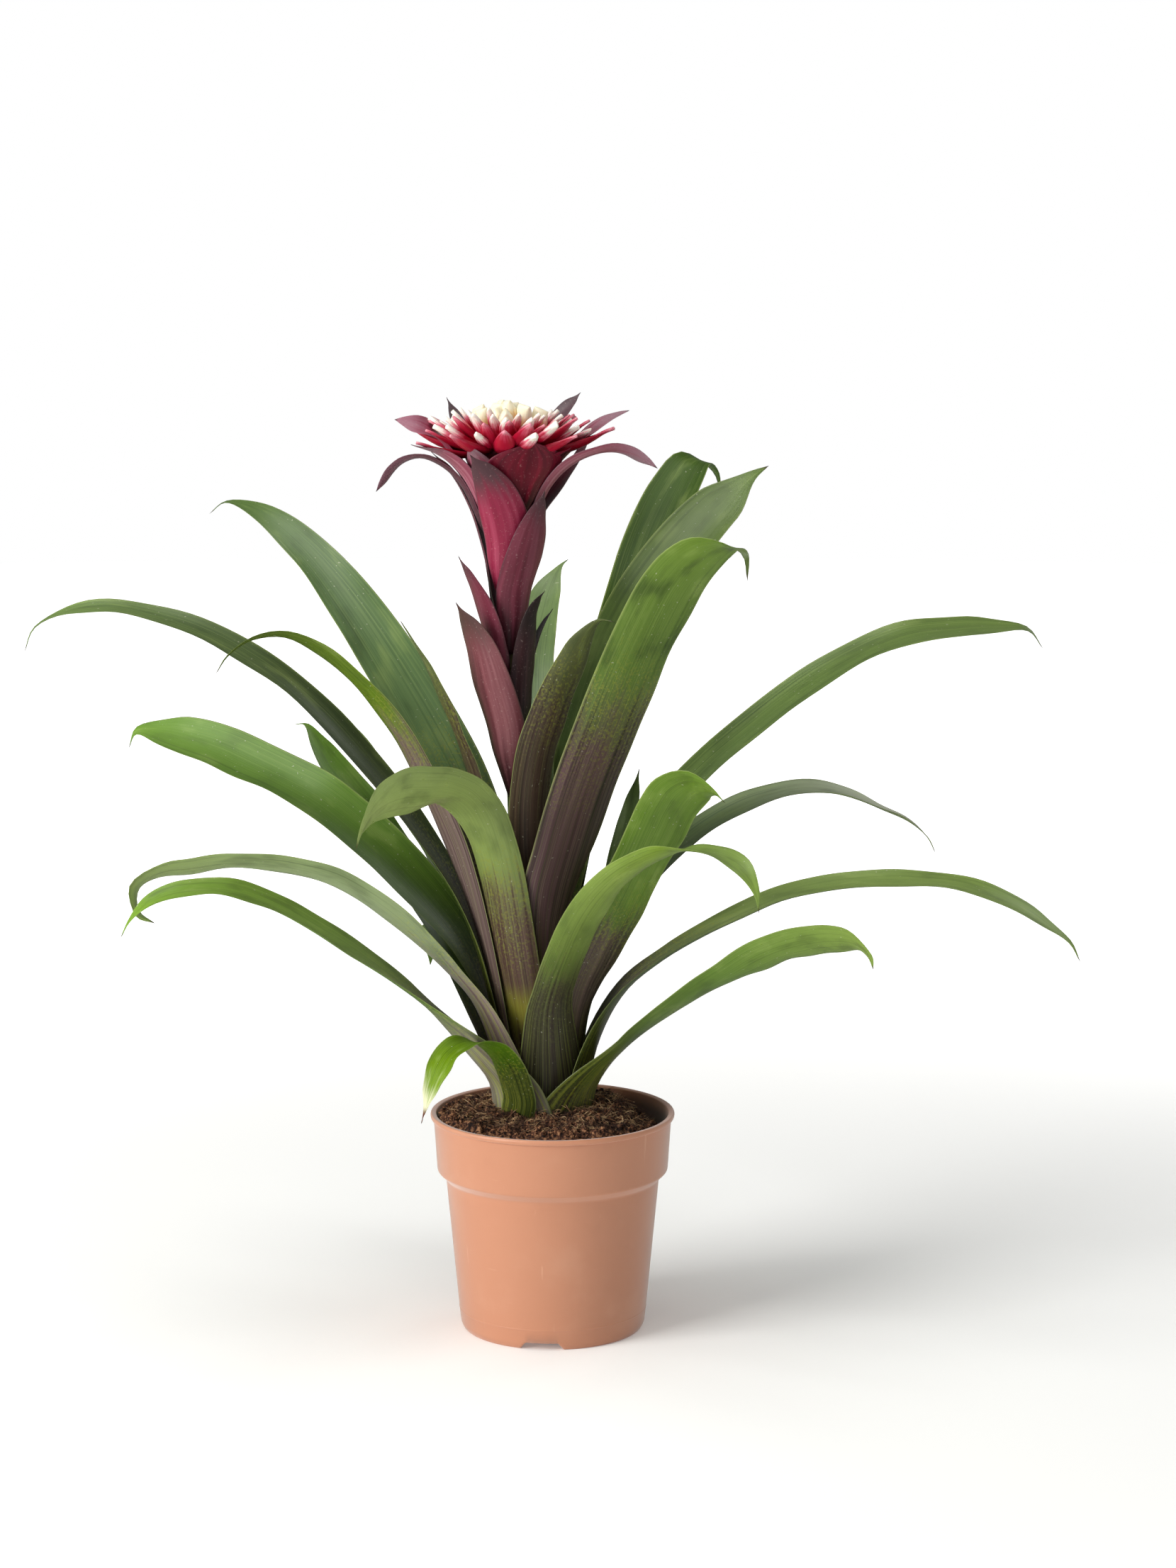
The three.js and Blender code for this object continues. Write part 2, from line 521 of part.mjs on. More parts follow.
// Bracts of the head: the outer ones spread like petals below the white-tipped inner ones.
const HEAD_LAYER_FEET = [403, 398, 392, 386];
const HEAD_BRACTS = [
  { name: 'head_bract_left_curved', azimuth: 186, layer: 3, width: 15, tipTurn: -40,
    path: [[22, 416], [32, 425], [43, 428], [54, 422], [62, 412]] },
  { name: 'head_bract_right_long', azimuth: 345, layer: 3, width: 16, tipTurn: 42,
    path: [[24, 417], [38, 428], [53, 432], [66, 429], [75, 424]] },
  { name: 'head_bract_front_right', azimuth: 296, layer: 2, width: 30,
    path: [[19, 411], [26, 425], [31, 437]] },
  { name: 'head_bract_left', azimuth: 178, layer: 1, width: 17, tipTurn: 55,
    path: [[23, 425], [32, 437], [42, 443], [53, 446]] },
  { name: 'head_bract_front_left_long', azimuth: 208, layer: 2, width: 15,
    path: [[22, 419], [34, 430], [52, 436, 4]] },
  { name: 'head_bract_front_left', azimuth: 240, layer: 1, width: 17,
    path: [[17.5, 416], [25, 427], [34, 436]] },
  { name: 'head_bract_right_front', azimuth: 332, layer: 1, width: 16,
    path: [[19, 417], [28, 429], [36, 434]] },
  { name: 'head_bract_right', azimuth: 8, layer: 2, width: 15, tipTurn: -26,
    path: [[22, 420], [37, 436], [50, 446], [60, 450]] },
  { name: 'head_bract_back_right', azimuth: 50, layer: 1, width: 13, tipTurn: -20,
    path: [[21.3, 420], [33, 438], [45, 450], [56, 457]] },
  { name: 'head_bract_back_left', azimuth: 128, layer: 2, width: 15,
    path: [[21, 420], [35, 438], [48, 455]] },
  { name: 'head_bract_back', azimuth: 90, layer: 3, width: 17,
    path: [[23, 417], [38, 432], [54, 441]] },
];

const INNER_BRACTS = { count: 8, width: 13, turn: 22, path: [[19.7, 423], [24.5, 435], [31, 445]] };

function stalkBractSpec(row) {
  const thickness = 0.8;
  const footReach = STALK.radius + CLEARANCE + thickness / 2 + 0.1;
  return {
    azimuth: radians(row.azimuth),
    path: [[footReach, row.foot], [footReach + 0.4, row.foot + 4], ...row.path],
    width: row.width,
    cup: radians(38),
    roll: 0,
    tipTurn: 0,
    turnFrom: 0.6,
    wrap: radians(70),
    footReach,
    footShare: 0.8,
    taperFrom: 0.4,
    taperPower: 2.4,
    thickness,
    stations: 10,
  };
}

function headBractSpec(row, rows) {
  const thickness = 0.8;
  const layerGap = 1.5;
  const foot = HEAD_LAYER_FEET[row.layer];
  const ride = (height, layer) => headRadius(height) + 2 * CLEARANCE + thickness / 2 + layer * layerGap;
  const footReach = ride(foot, 0) + Math.abs(HEAD_SHIFT - axisX(foot));
  return {
    azimuth: radians(row.azimuth),
    path: [[footReach, foot], [ride(foot + 7, row.layer), foot + 7], ...row.path],
    width: row.width,
    cup: radians(32),
    roll: radians(row.roll ?? 0),
    tipTurn: radians(row.tipTurn ?? 0),
    turnFrom: 0.6,
    wrap: footWrap(row, rows.filter((other) => other.layer === row.layer)),
    footReach,
    footShare: 0.7,
    taperFrom: 0.4,
    taperPower: 2.6,
    thickness,
    stations: 10,
  };
}

function innerBractRow(index) {
  const azimuth = INNER_BRACTS.turn + (index * 360) / INNER_BRACTS.count;
  return { azimuth, layer: 0, width: INNER_BRACTS.width, path: INNER_BRACTS.path };
}

addPiece('nursery_pot', potGeometry(), COLOURS.terracotta, 0.45);
addPiece('peat_soil', soilGeometry(), COLOURS.peat, 0.95);
addPiece('crown_stem', crownGeometry(), COLOURS.stem, 0.7);
addPiece('flower_stalk', stalkGeometry(), COLOURS.stalk, 0.5);
addPiece('bud_cluster', headGeometry(), COLOURS.cream, 0.5);
for (const row of LEAVES) addPiece(row.name, bladeGeometry(leafSpec(row)), COLOURS.leaf, 0.4);
for (const row of STALK_BRACTS) {
  addPiece(row.name, bladeGeometry(stalkBractSpec(row)), COLOURS.bractBrown, 0.5);
}
for (const row of HEAD_BRACTS) {
  addPiece(row.name, bladeGeometry(headBractSpec(row, HEAD_BRACTS)), COLOURS.bractRed, 0.45);
}
const innerRows = Array.from({ length: INNER_BRACTS.count }, (_, index) => innerBractRow(index));
innerRows.forEach((row, index) => {
  addPiece(`inner_bract_${index + 1}`, bladeGeometry(headBractSpec(row, innerRows)), COLOURS.floral, 0.45);
});

export default plant;
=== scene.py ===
import logging
import math
from dataclasses import dataclass, field
from enum import Enum
from typing import Callable, Iterable, Sequence

import bmesh
import bpy
import numpy as np
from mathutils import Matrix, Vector, noise


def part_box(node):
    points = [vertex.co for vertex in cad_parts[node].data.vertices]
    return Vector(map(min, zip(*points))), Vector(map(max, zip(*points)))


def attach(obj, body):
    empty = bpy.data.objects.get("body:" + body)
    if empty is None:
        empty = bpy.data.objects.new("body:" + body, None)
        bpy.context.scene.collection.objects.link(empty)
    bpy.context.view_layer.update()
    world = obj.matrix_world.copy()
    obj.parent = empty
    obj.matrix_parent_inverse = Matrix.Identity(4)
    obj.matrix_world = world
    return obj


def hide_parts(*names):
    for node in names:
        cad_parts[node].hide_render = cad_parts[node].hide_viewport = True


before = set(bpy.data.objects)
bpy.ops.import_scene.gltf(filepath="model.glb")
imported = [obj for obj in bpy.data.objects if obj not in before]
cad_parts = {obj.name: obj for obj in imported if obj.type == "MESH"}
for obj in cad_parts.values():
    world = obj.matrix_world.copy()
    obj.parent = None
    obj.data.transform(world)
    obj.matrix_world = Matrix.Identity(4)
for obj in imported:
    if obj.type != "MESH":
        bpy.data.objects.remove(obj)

log = logging.getLogger("guzmania")
logging.basicConfig(level=logging.INFO, format="%(name)s %(message)s")

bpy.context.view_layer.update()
MM = 0.001
ROOT = "root"
BLADE_MAP = "blade"
FULL_TURN = 2 * math.pi
GOLDEN_ANGLE = math.pi * (3 - math.sqrt(5))
PLANT_AXIS = -4.0 * MM
# How far apart two blades read the same noise.
LANE_STEP = 9.0

Piece = bpy.types.Object
Material = bpy.types.Material
Solid = bmesh.types.BMesh
Corner = bmesh.types.BMVert
Corners = list[list[Corner]]
Colour = tuple[float, float, float, float]
Socket = bpy.types.NodeSocket
Number = float | Socket
Coat = tuple[Number, float, float, float, Colour]

WHITE: Colour = (1.0, 1.0, 1.0, 1.0)
BLACK: Colour = (0.0, 0.0, 0.0, 1.0)


def paint(red: int, green: int, blue: int) -> Colour:
    """Turn a colour as the eye reads it into the linear colour a shader takes.

    Args:
        red: Red, 0 to 255.
        green: Green, 0 to 255.
        blue: Blue, 0 to 255.

    Returns:
        The linear colour with full alpha.
    """
    shares = (red / 255, green / 255, blue / 255)
    linear = [s / 12.92 if s <= 0.04045 else ((s + 0.055) / 1.055) ** 2.4 for s in shares]
    return (linear[0], linear[1], linear[2], 1.0)


def paints(*shades: tuple[int, int, int]) -> tuple[Colour, ...]:
    """Return the linear colours of several shades as the eye reads them."""
    return tuple(paint(*shade) for shade in shades)


def half_way(first: Colour, second: Colour) -> Colour:
    """Return the colour half way between two."""
    red, green, blue, alpha = ((a + b) / 2 for a, b in zip(first, second))
    return (red, green, blue, alpha)


class NodeSheet:
    """Adds nodes to a node tree and joins them up.

    Attributes:
        tree: The tree.
    """

    tree: bpy.types.NodeTree

    def add(self, kind: str, feeds: dict[object, object] | None = None, **settings: object) -> bpy.types.Node:
        """Add a node and feed its inputs.

        Args:
            kind: The node's type name.
            feeds: Input names or numbers, and a socket or a value for each.
            settings: Properties to set on it.

        Returns:
            The new node.
        """
        node = self.tree.nodes.new(kind)
        for key, value in settings.items():
            setattr(node, key, value)
        for key, value in (feeds or {}).items():
            self.feed(node.inputs[key], value)
        return node

    def feed(self, socket: Socket, value: object) -> None:
        """Link an input to another socket, or set its value.

        Args:
            socket: The input.
            value: An output socket, or a plain value.
        """
        if isinstance(value, Socket):
            self.tree.links.new(value, socket)
        else:
            socket.default_value = value

    def maths(self, step: str, first: Number, second: Number = 0.0) -> Socket:
        """Return the result of a Math node."""
        return self.add("ShaderNodeMath", {0: first, 1: second}, operation=step).outputs[0]

    def plus(self, first: Number, second: Number) -> Socket:
        """Return the sum of two numbers."""
        return self.maths("ADD", first, second)

    def minus(self, first: Number, second: Number) -> Socket:
        """Return the first number less the second."""
        return self.maths("SUBTRACT", first, second)

    def times(self, first: Number, second: Number) -> Socket:
        """Return the product of two numbers."""
        return self.maths("MULTIPLY", first, second)

    def join(self, x: Number, y: Number, z: Number = 0.0) -> Socket:
        """Return a vector of three numbers."""
        return self.add("ShaderNodeCombineXYZ", {0: x, 1: y, 2: z}).outputs[0]

    def split(self, vector: Socket) -> Sequence[Socket]:
        """Return the three numbers of a vector."""
        return self.add("ShaderNodeSeparateXYZ", {0: vector}).outputs

    def length(self, vector: Socket) -> Socket:
        """Return the length of a vector."""
        return self.add("ShaderNodeVectorMath", {0: vector}, operation="LENGTH").outputs["Value"]


class Wiring(NodeSheet):
    """The node sheet of one new material with a Principled surface."""

    def __init__(self, name: str) -> None:
        """Make the material.

        Args:
            name: The material's name.
        """
        self.material = bpy.data.materials.new(name)
        self.material.use_nodes = True
        self.tree = self.material.node_tree
        self.surface = self.tree.nodes["Principled BSDF"]

    def set(self, **values: object) -> None:
        """Feed sockets of the surface, named with underscores for spaces."""
        for key, value in values.items():
            self.feed(self.surface.inputs[key.replace("_", " ")], value)

    def place(self) -> Socket:
        """Return the place on the object, in metres."""
        return self.add("ShaderNodeTexCoord").outputs["Object"]

    def blade_place(self) -> tuple[Socket, Socket]:
        """Return the share across a blade and the share along it."""
        across, along, _ = self.split(self.add("ShaderNodeUVMap", uv_map=BLADE_MAP).outputs["UV"])
        return across, along

    def from_middle(self) -> Socket:
        """Return 0 on a blade's middle line and 1 on its margins."""
        across, _ = self.blade_place()
        return self.maths("ABSOLUTE", self.minus(self.times(across, 2.0), 1.0))

    def attribute(self, name: str) -> Socket:
        """Return the number that a mesh attribute holds."""
        return self.add("ShaderNodeAttribute", attribute_name=name).outputs["Fac"]

    def rise(self, value: Number, start: Number, end: Number) -> Socket:
        """Return a smooth step from 0 at start to 1 at end."""
        feeds = {"Value": value, "From Min": start, "From Max": end}
        return self.add("ShaderNodeMapRange", feeds, interpolation_type="SMOOTHSTEP").outputs["Result"]

    def fall(self, value: Number, start: Number, end: Number) -> Socket:
        """Return a smooth step from 1 at start to 0 at end."""
        return self.minus(1.0, self.rise(value, start, end))

    def share(self, value: Number, start: float, end: float, most: float) -> Socket:
        """Return a smooth step from 0 at start to the most at end."""
        return self.times(self.rise(value, start, end), most)

    def centred(self, value: Number, span: float) -> Socket:
        """Return noise moved to lie round 0, this wide."""
        return self.times(self.minus(value, 0.5), span)

    def noise(self, vector: Socket, scale: float, detail: float = 2.0) -> Socket:
        """Return noise from 0 to 1, read at a vector, with a scale and a number of finer layers."""
        feeds = {"Vector": vector, "Scale": scale, "Detail": detail}
        return self.add("ShaderNodeTexNoise", feeds).outputs[0]

    def grain(self, scales: Sequence[float], detail: float) -> Socket:
        """Return noise on the object with a scale along each axis."""
        stretched = self.add("ShaderNodeMapping", {"Vector": self.place(), "Scale": scales})
        return self.noise(stretched.outputs[0], 1.0, detail)

    def strands(self, fine: float, long: float, detail: float = 2.0) -> Socket:
        """Return noise drawn out along a blade, different on each blade.

        Args:
            fine: How many strands there are across the blade.
            long: How often a strand changes along the blade.
            detail: How many finer layers it has.

        Returns:
            The noise, between 0 and 1.
        """
        across, along = self.blade_place()
        lane = self.times(self.attribute("tone"), LANE_STEP)
        return self.noise(self.join(self.times(across, fine), self.times(along, long), lane), 1.0, detail)

    def blend(self, share: Number, first: object, second: object) -> Socket:
        """Mix two colours by a share."""
        return self.add("ShaderNodeMix", {0: share, 6: first, 7: second}, data_type="RGBA").outputs[2]

    def coats(self, base: object, *coats: Coat) -> Socket:
        """Lay coats of colour over a base, one after another.

        Args:
            base: The colour underneath.
            coats: What each coat follows, where on that it starts and is full, how dense it is then,
                and its colour.

        Returns:
            The colour on top.
        """
        for value, start, end, most, colour in coats:
            base = self.blend(self.share(value, start, end, most), base, colour)
        return base

    def ramp(self, share: Number, stops: Iterable[tuple[float, Colour]]) -> Socket:
        """Return a colour that runs through stops.

        Args:
            share: Where on the ramp.
            stops: Places and colours, in order.

        Returns:
            The colour.
        """
        node = self.add("ShaderNodeValToRGB", {0: share})
        elements = node.color_ramp.elements
        for k, (position, colour) in enumerate(stops):
            element = elements[k] if k < len(elements) else elements.new(1.0)
            element.position = position
            element.color = colour
        return node.outputs[0]

    def relief(self, height: Socket, strength: float, depth: float) -> None:
        """Give the surface a bump with a strength and a depth in metres."""
        feeds = {"Strength": strength, "Distance": depth, "Height": height}
        self.set(Normal=self.add("ShaderNodeBump", feeds).outputs[0])


@dataclass(frozen=True)
class LeafPattern:
    """What the colours of a leaf follow.

    Attributes:
        along: The share along the blade.
        under: 1 on the under face and 0 on the upper one.
        streak: Broad streaks along the blade.
        cloud: Clouds across it.
        vein: Fine veins.
    """

    along: Socket
    under: Socket
    streak: Socket
    cloud: Socket
    vein: Socket


@dataclass(frozen=True)
class LeafFinish:
    """Living leaf: green that changes along the blade, a purple flush from the foot, a pale margin.

    Attributes:
        name: The material's name.
        face: Greens of the upper face near the foot, in the middle and near the end.
        back: Greens of the under face at the same places.
        flush: Purple of the foot.
        flush_light: The lighter streaks in the purple.
        foot: The yellow-green that shows in stripes at the very foot.
        shade: What the dark clouds and streaks lean towards.
        light: What the veins lean towards.
        margin: The thin pale margin.
        fleck: The dry flecks.
        tip: The dry tip.
        patch: The yellow-green patch at the foot.
        back_reach: How far the purple reaches along the under face.
        face_reach: How far it reaches along the upper face.
        mottle: How strongly the dark clouds show.
        stripes_to: How far the foot's stripes reach.
        glow: How strongly the patch at the foot shows.
        glow_at: Where along the leaf that patch is.
        roughness: Roughness of the upper face.
        shine: How strongly the skin reflects.
    """

    name: str
    face: tuple[Colour, ...] = paints((56, 72, 22), (84, 118, 38), (104, 140, 44))
    back: tuple[Colour, ...] = paints((88, 98, 60), (112, 134, 66), (122, 148, 64))
    flush: Colour = paint(46, 31, 32)
    flush_light: Colour = paint(96, 80, 74)
    foot: Colour = paint(128, 132, 46)
    shade: Colour = paint(30, 48, 16)
    light: Colour = paint(176, 196, 112)
    margin: Colour = paint(150, 164, 96)
    fleck: Colour = paint(190, 190, 166)
    tip: Colour = paint(66, 48, 30)
    patch: Colour = paint(140, 136, 44)
    back_reach: float = 0.34
    face_reach: float = 0.12
    mottle: float = 0.35
    stripes_to: float = 0.24
    glow: float = 0.0
    glow_at: float = 0.15
    roughness: float = 0.3
    shine: float = 0.36

    def material(self) -> Material:
        """Build the leaf material.

        Returns:
            The material.
        """
        w = Wiring(self.name)
        p = LeafPattern(w.blade_place()[1], w.attribute("under"), w.strands(20.0, 1.8, 3.0),
                        w.strands(2.6, 10.0, 3.0), w.strands(120.0, 2.5))
        body = self._flushed(w, p, self._green(w, p))
        body = w.coats(body, (p.vein, 0.45, 0.75, 0.16, self.light), (p.vein, 0.5, 0.25, 0.22, self.shade),
                       (w.from_middle(), 0.93, 0.99, 0.5, self.margin))
        body = w.coats(self._weathered(w, p, body),
                       (w.noise(w.place(), 900.0, 0.0), 0.81, 0.84, 0.4, self.fleck),
                       (p.along, 0.972, 0.994, 0.85, self.tip))
        dull = w.plus(w.times(p.under, 0.08), w.centred(p.cloud, 0.16))
        w.set(Base_Color=body, Specular_IOR_Level=self.shine, Roughness=w.plus(dull, self.roughness))
        w.relief(w.plus(w.times(p.vein, 0.5), p.streak), 0.22, 0.5 * MM)
        return w.material

    def _green(self, w: Wiring, p: LeafPattern) -> Socket:
        """Return the greens of the two faces with their clouds and streaks.

        Args:
            w: The material's wiring.
            p: What the colours follow.

        Returns:
            The green.
        """
        stops = (0.12, 0.5, 0.9)
        face = w.ramp(p.along, zip(stops, self.face))
        back = w.ramp(p.along, zip(stops, self.back))
        return w.coats(w.blend(p.under, face, back), (p.cloud, 0.5, 0.7, self.mottle, self.shade),
                       (p.cloud, 0.46, 0.3, 0.16, self.light), (p.streak, 0.52, 0.72, 0.3, self.shade))

    def _flushed(self, w: Wiring, p: LeafPattern, green: Socket) -> Socket:
        """Spread the purple from the foot over the green, and set the foot's stripes in it.

        Args:
            w: The material's wiring.
            p: What the colours follow.
            green: The green.

        Returns:
            The flushed colour.
        """
        # How far a point lies past the purple, whose border wanders with the clouds and streaks.
        reach = w.plus(w.times(p.under, self.back_reach - self.face_reach), self.face_reach)
        wander = w.plus(w.centred(p.cloud, 0.2), w.centred(p.streak, 0.24))
        past = w.minus(w.plus(p.along, wander), reach)
        middle = half_way(self.flush, self.flush_light)
        purple = w.ramp(p.streak, [(0.34, self.flush), (0.52, middle), (0.7, self.flush_light)])
        purple = w.coats(purple, (w.from_middle(), 0.5, 0.0, 0.3, self.flush_light))
        body = w.blend(w.fall(past, -0.09, 0.06), green, purple)
        # Yellow-green specks along that border.
        border = w.times(w.rise(past, -0.2, -0.02), w.fall(past, 0.0, 0.14))
        speckled = w.times(border, w.rise(w.noise(w.place(), 800.0), 0.5, 0.62))
        body = w.blend(w.times(speckled, 0.45), body, self.foot)
        # Yellow-green and purple stripes at the very foot.
        lines = w.strands(46.0, 1.6, 1.0)
        low = w.fall(p.along, self.stripes_to - 0.12, self.stripes_to)
        body = w.blend(w.times(w.times(low, w.rise(lines, 0.5, 0.6)), 0.62), body, self.foot)
        body = w.blend(w.times(w.times(low, w.fall(lines, 0.36, 0.46)), 0.55), body, self.flush)
        if not self.glow:
            return body
        before = w.rise(p.along, self.glow_at - 0.06, self.glow_at)
        after = w.fall(p.along, self.glow_at, self.glow_at + 0.05)
        return w.blend(w.times(w.times(before, after), self.glow), body, self.patch)

    def _weathered(self, w: Wiring, p: LeafPattern, body: Socket) -> Socket:
        """Return the colour after weathering, which a healthy leaf has none of."""
        return body


@dataclass(frozen=True)
class BleachedLeafFinish(LeafFinish):
    """A small young leaf whose outer end has bleached white, with a brown tip.

    Attributes:
        bleach_from: Where along the leaf the bleaching begins.
        bleached: The bleached colour.
        burnt: The brown tip.
    """

    bleach_from: float = 0.74
    bleached: Colour = paint(214, 214, 178)
    burnt: Colour = paint(104, 56, 40)

    def _weathered(self, w: Wiring, p: LeafPattern, body: Socket) -> Socket:
        """Bleach the end and burn its tip.

        Args:
            w: The material's wiring.
            p: What the colours follow.
            body: The living colour.

        Returns:
            The weathered colour.
        """
        ragged = w.plus(p.along, w.centred(w.strands(9.0, 5.0), 0.3))
        pale = w.blend(w.rise(ragged, self.bleach_from, self.bleach_from + 0.14), body, self.bleached)
        return w.blend(w.rise(p.along, 0.88, 0.93), pale, self.burnt)


@dataclass(frozen=True)
class BractFinish:
    """Coloured bract: a red body, darker at the foot and in the tip, with a thin dark margin.

    Attributes:
        name: The material's name.
        foot: Colour at the foot.
        body: Colour of the body.
        bright: The lighter streaks of the body.
        end: Colour of the outer end.
        fleck: What the pale flecks lean towards.
        tip: The dry tip.
        foot_to: Where along the bract the foot's colour is gone.
        end_from: Where the end's colour begins.
        roughness: Roughness of the surface.
    """

    name: str
    foot: Colour = paint(62, 24, 32)
    body: Colour = paint(112, 44, 60)
    bright: Colour = paint(144, 74, 92)
    end: Colour = paint(82, 54, 60)
    fleck: Colour = paint(214, 196, 186)
    tip: Colour = paint(44, 30, 28)
    foot_to: float = 0.35
    end_from: float = 0.66
    roughness: float = 0.36

    def material(self) -> Material:
        """Build the bract material.

        Returns:
            The material.
        """
        w = Wiring(self.name)
        _, along = w.blade_place()
        vein = w.strands(70.0, 2.0)
        streak = w.strands(9.0, 1.4)
        shifted = w.plus(along, w.centred(streak, 0.34))
        red = w.coats(self.body,
                      (streak, 0.42, 0.72, 0.6, self.bright), (streak, 0.46, 0.28, 0.36, self.foot),
                      (vein, 0.45, 0.75, 0.16, self.bright), (vein, 0.48, 0.25, 0.16, self.foot))
        red = w.blend(w.fall(shifted, 0.0, self.foot_to), red, self.foot)
        red = w.blend(w.rise(shifted, self.end_from, self.end_from + 0.26), red, self.end)
        speck = w.noise(w.place(), 1000.0)
        red = w.coats(red, (speck, 0.62, 0.74, 0.3, half_way(self.bright, self.fleck)),
                      (w.from_middle(), 0.9, 0.98, 0.5, self.end), (along, 0.95, 0.99, 0.8, self.tip))
        w.set(Base_Color=red, Specular_IOR_Level=0.4, Sheen_Weight=0.05, Sheen_Roughness=0.4)
        w.set(Roughness=w.plus(self.roughness, w.times(w.attribute("under"), 0.05)))
        w.relief(w.plus(streak, w.times(vein, 0.4)), 0.22, 0.4 * MM)
        return w.material


@dataclass(frozen=True)
class PetalFinish:
    """A petal-like bract or bud: red at its foot, white or cream at its end.

    Attributes:
        name: The material's name.
        foot: Colour at the foot.
        body: Colour below the pale end.
        blush: Colour where the body turns pale.
        end: Colour of the pale end.
        end_from: Where along the petal the pale end begins.
        end_full: Where it has its full colour.
    """

    name: str
    foot: Colour = paint(112, 4, 26)
    body: Colour = paint(186, 14, 52)
    blush: Colour = paint(226, 120, 140)
    end: Colour = paint(246, 238, 226)
    end_from: float = 0.6
    end_full: float = 0.86

    def material(self) -> Material:
        """Build the petal material.

        Returns:
            The material.
        """
        w = Wiring(self.name)
        fine = w.strands(18.0, 1.6)
        shifted = w.plus(w.blade_place()[1], w.centred(w.noise(w.place(), 240.0), 0.26))
        shifted = w.plus(shifted, w.centred(fine, 0.3))
        middle = (self.end_from + self.end_full) / 2
        colour = w.ramp(shifted, [(0.08, self.foot), (0.34, self.body), (self.end_from, self.body),
                                  (middle, self.blush), (self.end_full, self.end)])
        w.set(Base_Color=colour, Roughness=0.34, Specular_IOR_Level=0.5)
        w.set(Subsurface_Weight=0.1, Subsurface_Scale=2 * MM)
        w.relief(fine, 0.2, 0.4 * MM)
        return w.material


@dataclass(frozen=True)
class PotPlasticFinish:
    """Moulded nursery-pot plastic: even colour, soft gloss, faint rubs and drip marks, and painted shade on
    the inner wall above the soil.

    Attributes:
        name: The material's name.
        colour: The plastic's colour.
        rubbed: Where it is rubbed pale.
        dusty: Where dust lies on it.
        inner_shade: Painted shade on the inner wall, full near the soil and fading towards the rim.
        slope: How fast the wall's middle widens with height.
        middle: The radius of the wall's middle, were it to reach down to the ground.
        inside_from: The height over which the inner wall can show.
        shade_full_to: The height up to which that wall is fully painted with shade.
        shade_gone_from: The height from which the painted shade is gone.
    """

    name: str = "pot_plastic"
    colour: Colour = paint(200, 137, 104)
    rubbed: Colour = paint(228, 180, 150)
    dusty: Colour = paint(168, 106, 78)
    inner_shade: Colour = paint(66, 38, 28)
    slope: float = 0.075
    middle: float = 49.75 * MM
    inside_from: float = 90 * MM
    shade_full_to: float = 100 * MM
    shade_gone_from: float = 109 * MM

    def material(self) -> Material:
        """Build the plastic material.

        Returns:
            The material.
        """
        w = Wiring(self.name)
        rubs = w.grain((60.0, 60.0, 900.0), 4.0)
        drips = w.grain((420.0, 420.0, 16.0), 3.0)
        cloud = w.noise(w.place(), 34.0, 4.0)
        tint = w.coats(self.colour,
                       (cloud, 0.5, 0.75, 0.14, self.rubbed), (rubs, 0.68, 0.8, 0.2, self.rubbed),
                       (drips, 0.7, 0.78, 0.3, self.rubbed), (cloud, 0.42, 0.25, 0.16, self.dusty))
        # Painted shade: the inner wall above the soil is darkened as if in shadow, darkest next to the soil.
        tint = w.blend(w.times(self._inner_shade_mask(w, cloud), 0.86), tint, self.inner_shade)
        w.set(Base_Color=tint, Specular_IOR_Level=0.6, Sheen_Weight=0.75, Sheen_Roughness=0.4)
        w.set(Roughness=w.plus(0.36, w.times(cloud, 0.16)))
        w.relief(w.plus(w.noise(w.place(), 1500.0), w.times(rubs, 0.8)), 0.08, 0.3 * MM)
        return w.material

    def _inner_shade_mask(self, w: Wiring, cloud: Socket) -> Socket:
        """Find where the inner wall is painted dark as shade.

        Args:
            w: The material's wiring.
            cloud: What the painted shade's upper edge wanders with.

        Returns:
            1 where the painted shade is full, and 0 on plastic without it.
        """
        x, y, z = w.split(w.place())
        wall = w.plus(w.times(z, self.slope), self.middle)
        inner = w.times(w.maths("LESS_THAN", w.length(w.join(x, y)), wall),
                        w.maths("GREATER_THAN", z, self.inside_from))
        return w.times(inner, w.fall(w.plus(z, w.centred(cloud, 10 * MM)), self.shade_full_to, self.shade_gone_from))


@dataclass(frozen=True)
class PeatFinish:
    """Damp peat: dark crumbs with lighter dry bits, and painted shade in the hollows of its bump."""

    name: str = "peat"
    dark: Colour = paint(26, 15, 12)
    brown: Colour = paint(86, 53, 38)
    dry: Colour = paint(176, 128, 92)

    def material(self) -> Material:
        """Build the peat material.

        Returns:
            The material.
        """
        w = Wiring(self.name)
        crumb = w.noise(w.place(), 620.0, 6.0)
        # The colour follows the bump's height: the hollows are painted dark as shade, over the peat's own
        # dark damp crumbs; the lumps turn lighter and dry.
        brown = w.ramp(crumb, [(0.38, self.dark), (0.5, self.brown), (0.66, self.dry)])
        brown = w.coats(brown, (w.noise(w.place(), 90.0, 3.0), 0.48, 0.62, 0.6, self.dark))
        w.set(Base_Color=brown, Roughness=0.9, Specular_IOR_Level=0.25)
        w.relief(crumb, 0.7, 1.2 * MM)
        return w.material


@dataclass(frozen=True)
class FibreFinish:
    """Dry peat fibre: tan, each a little lighter or darker."""

    name: str = "peat_fibre"
    tan: Colour = paint(216, 176, 132)
    brown: Colour = paint(70, 44, 31)

    def material(self) -> Material:
        """Build the fibre material.

        Returns:
            The material.
        """
        w = Wiring(self.name)
        tint = w.blend(w.rise(w.noise(w.place(), 190.0, 3.0), 0.46, 0.62), self.brown, self.tan)
        w.set(Base_Color=tint, Roughness=0.75)
        return w.material


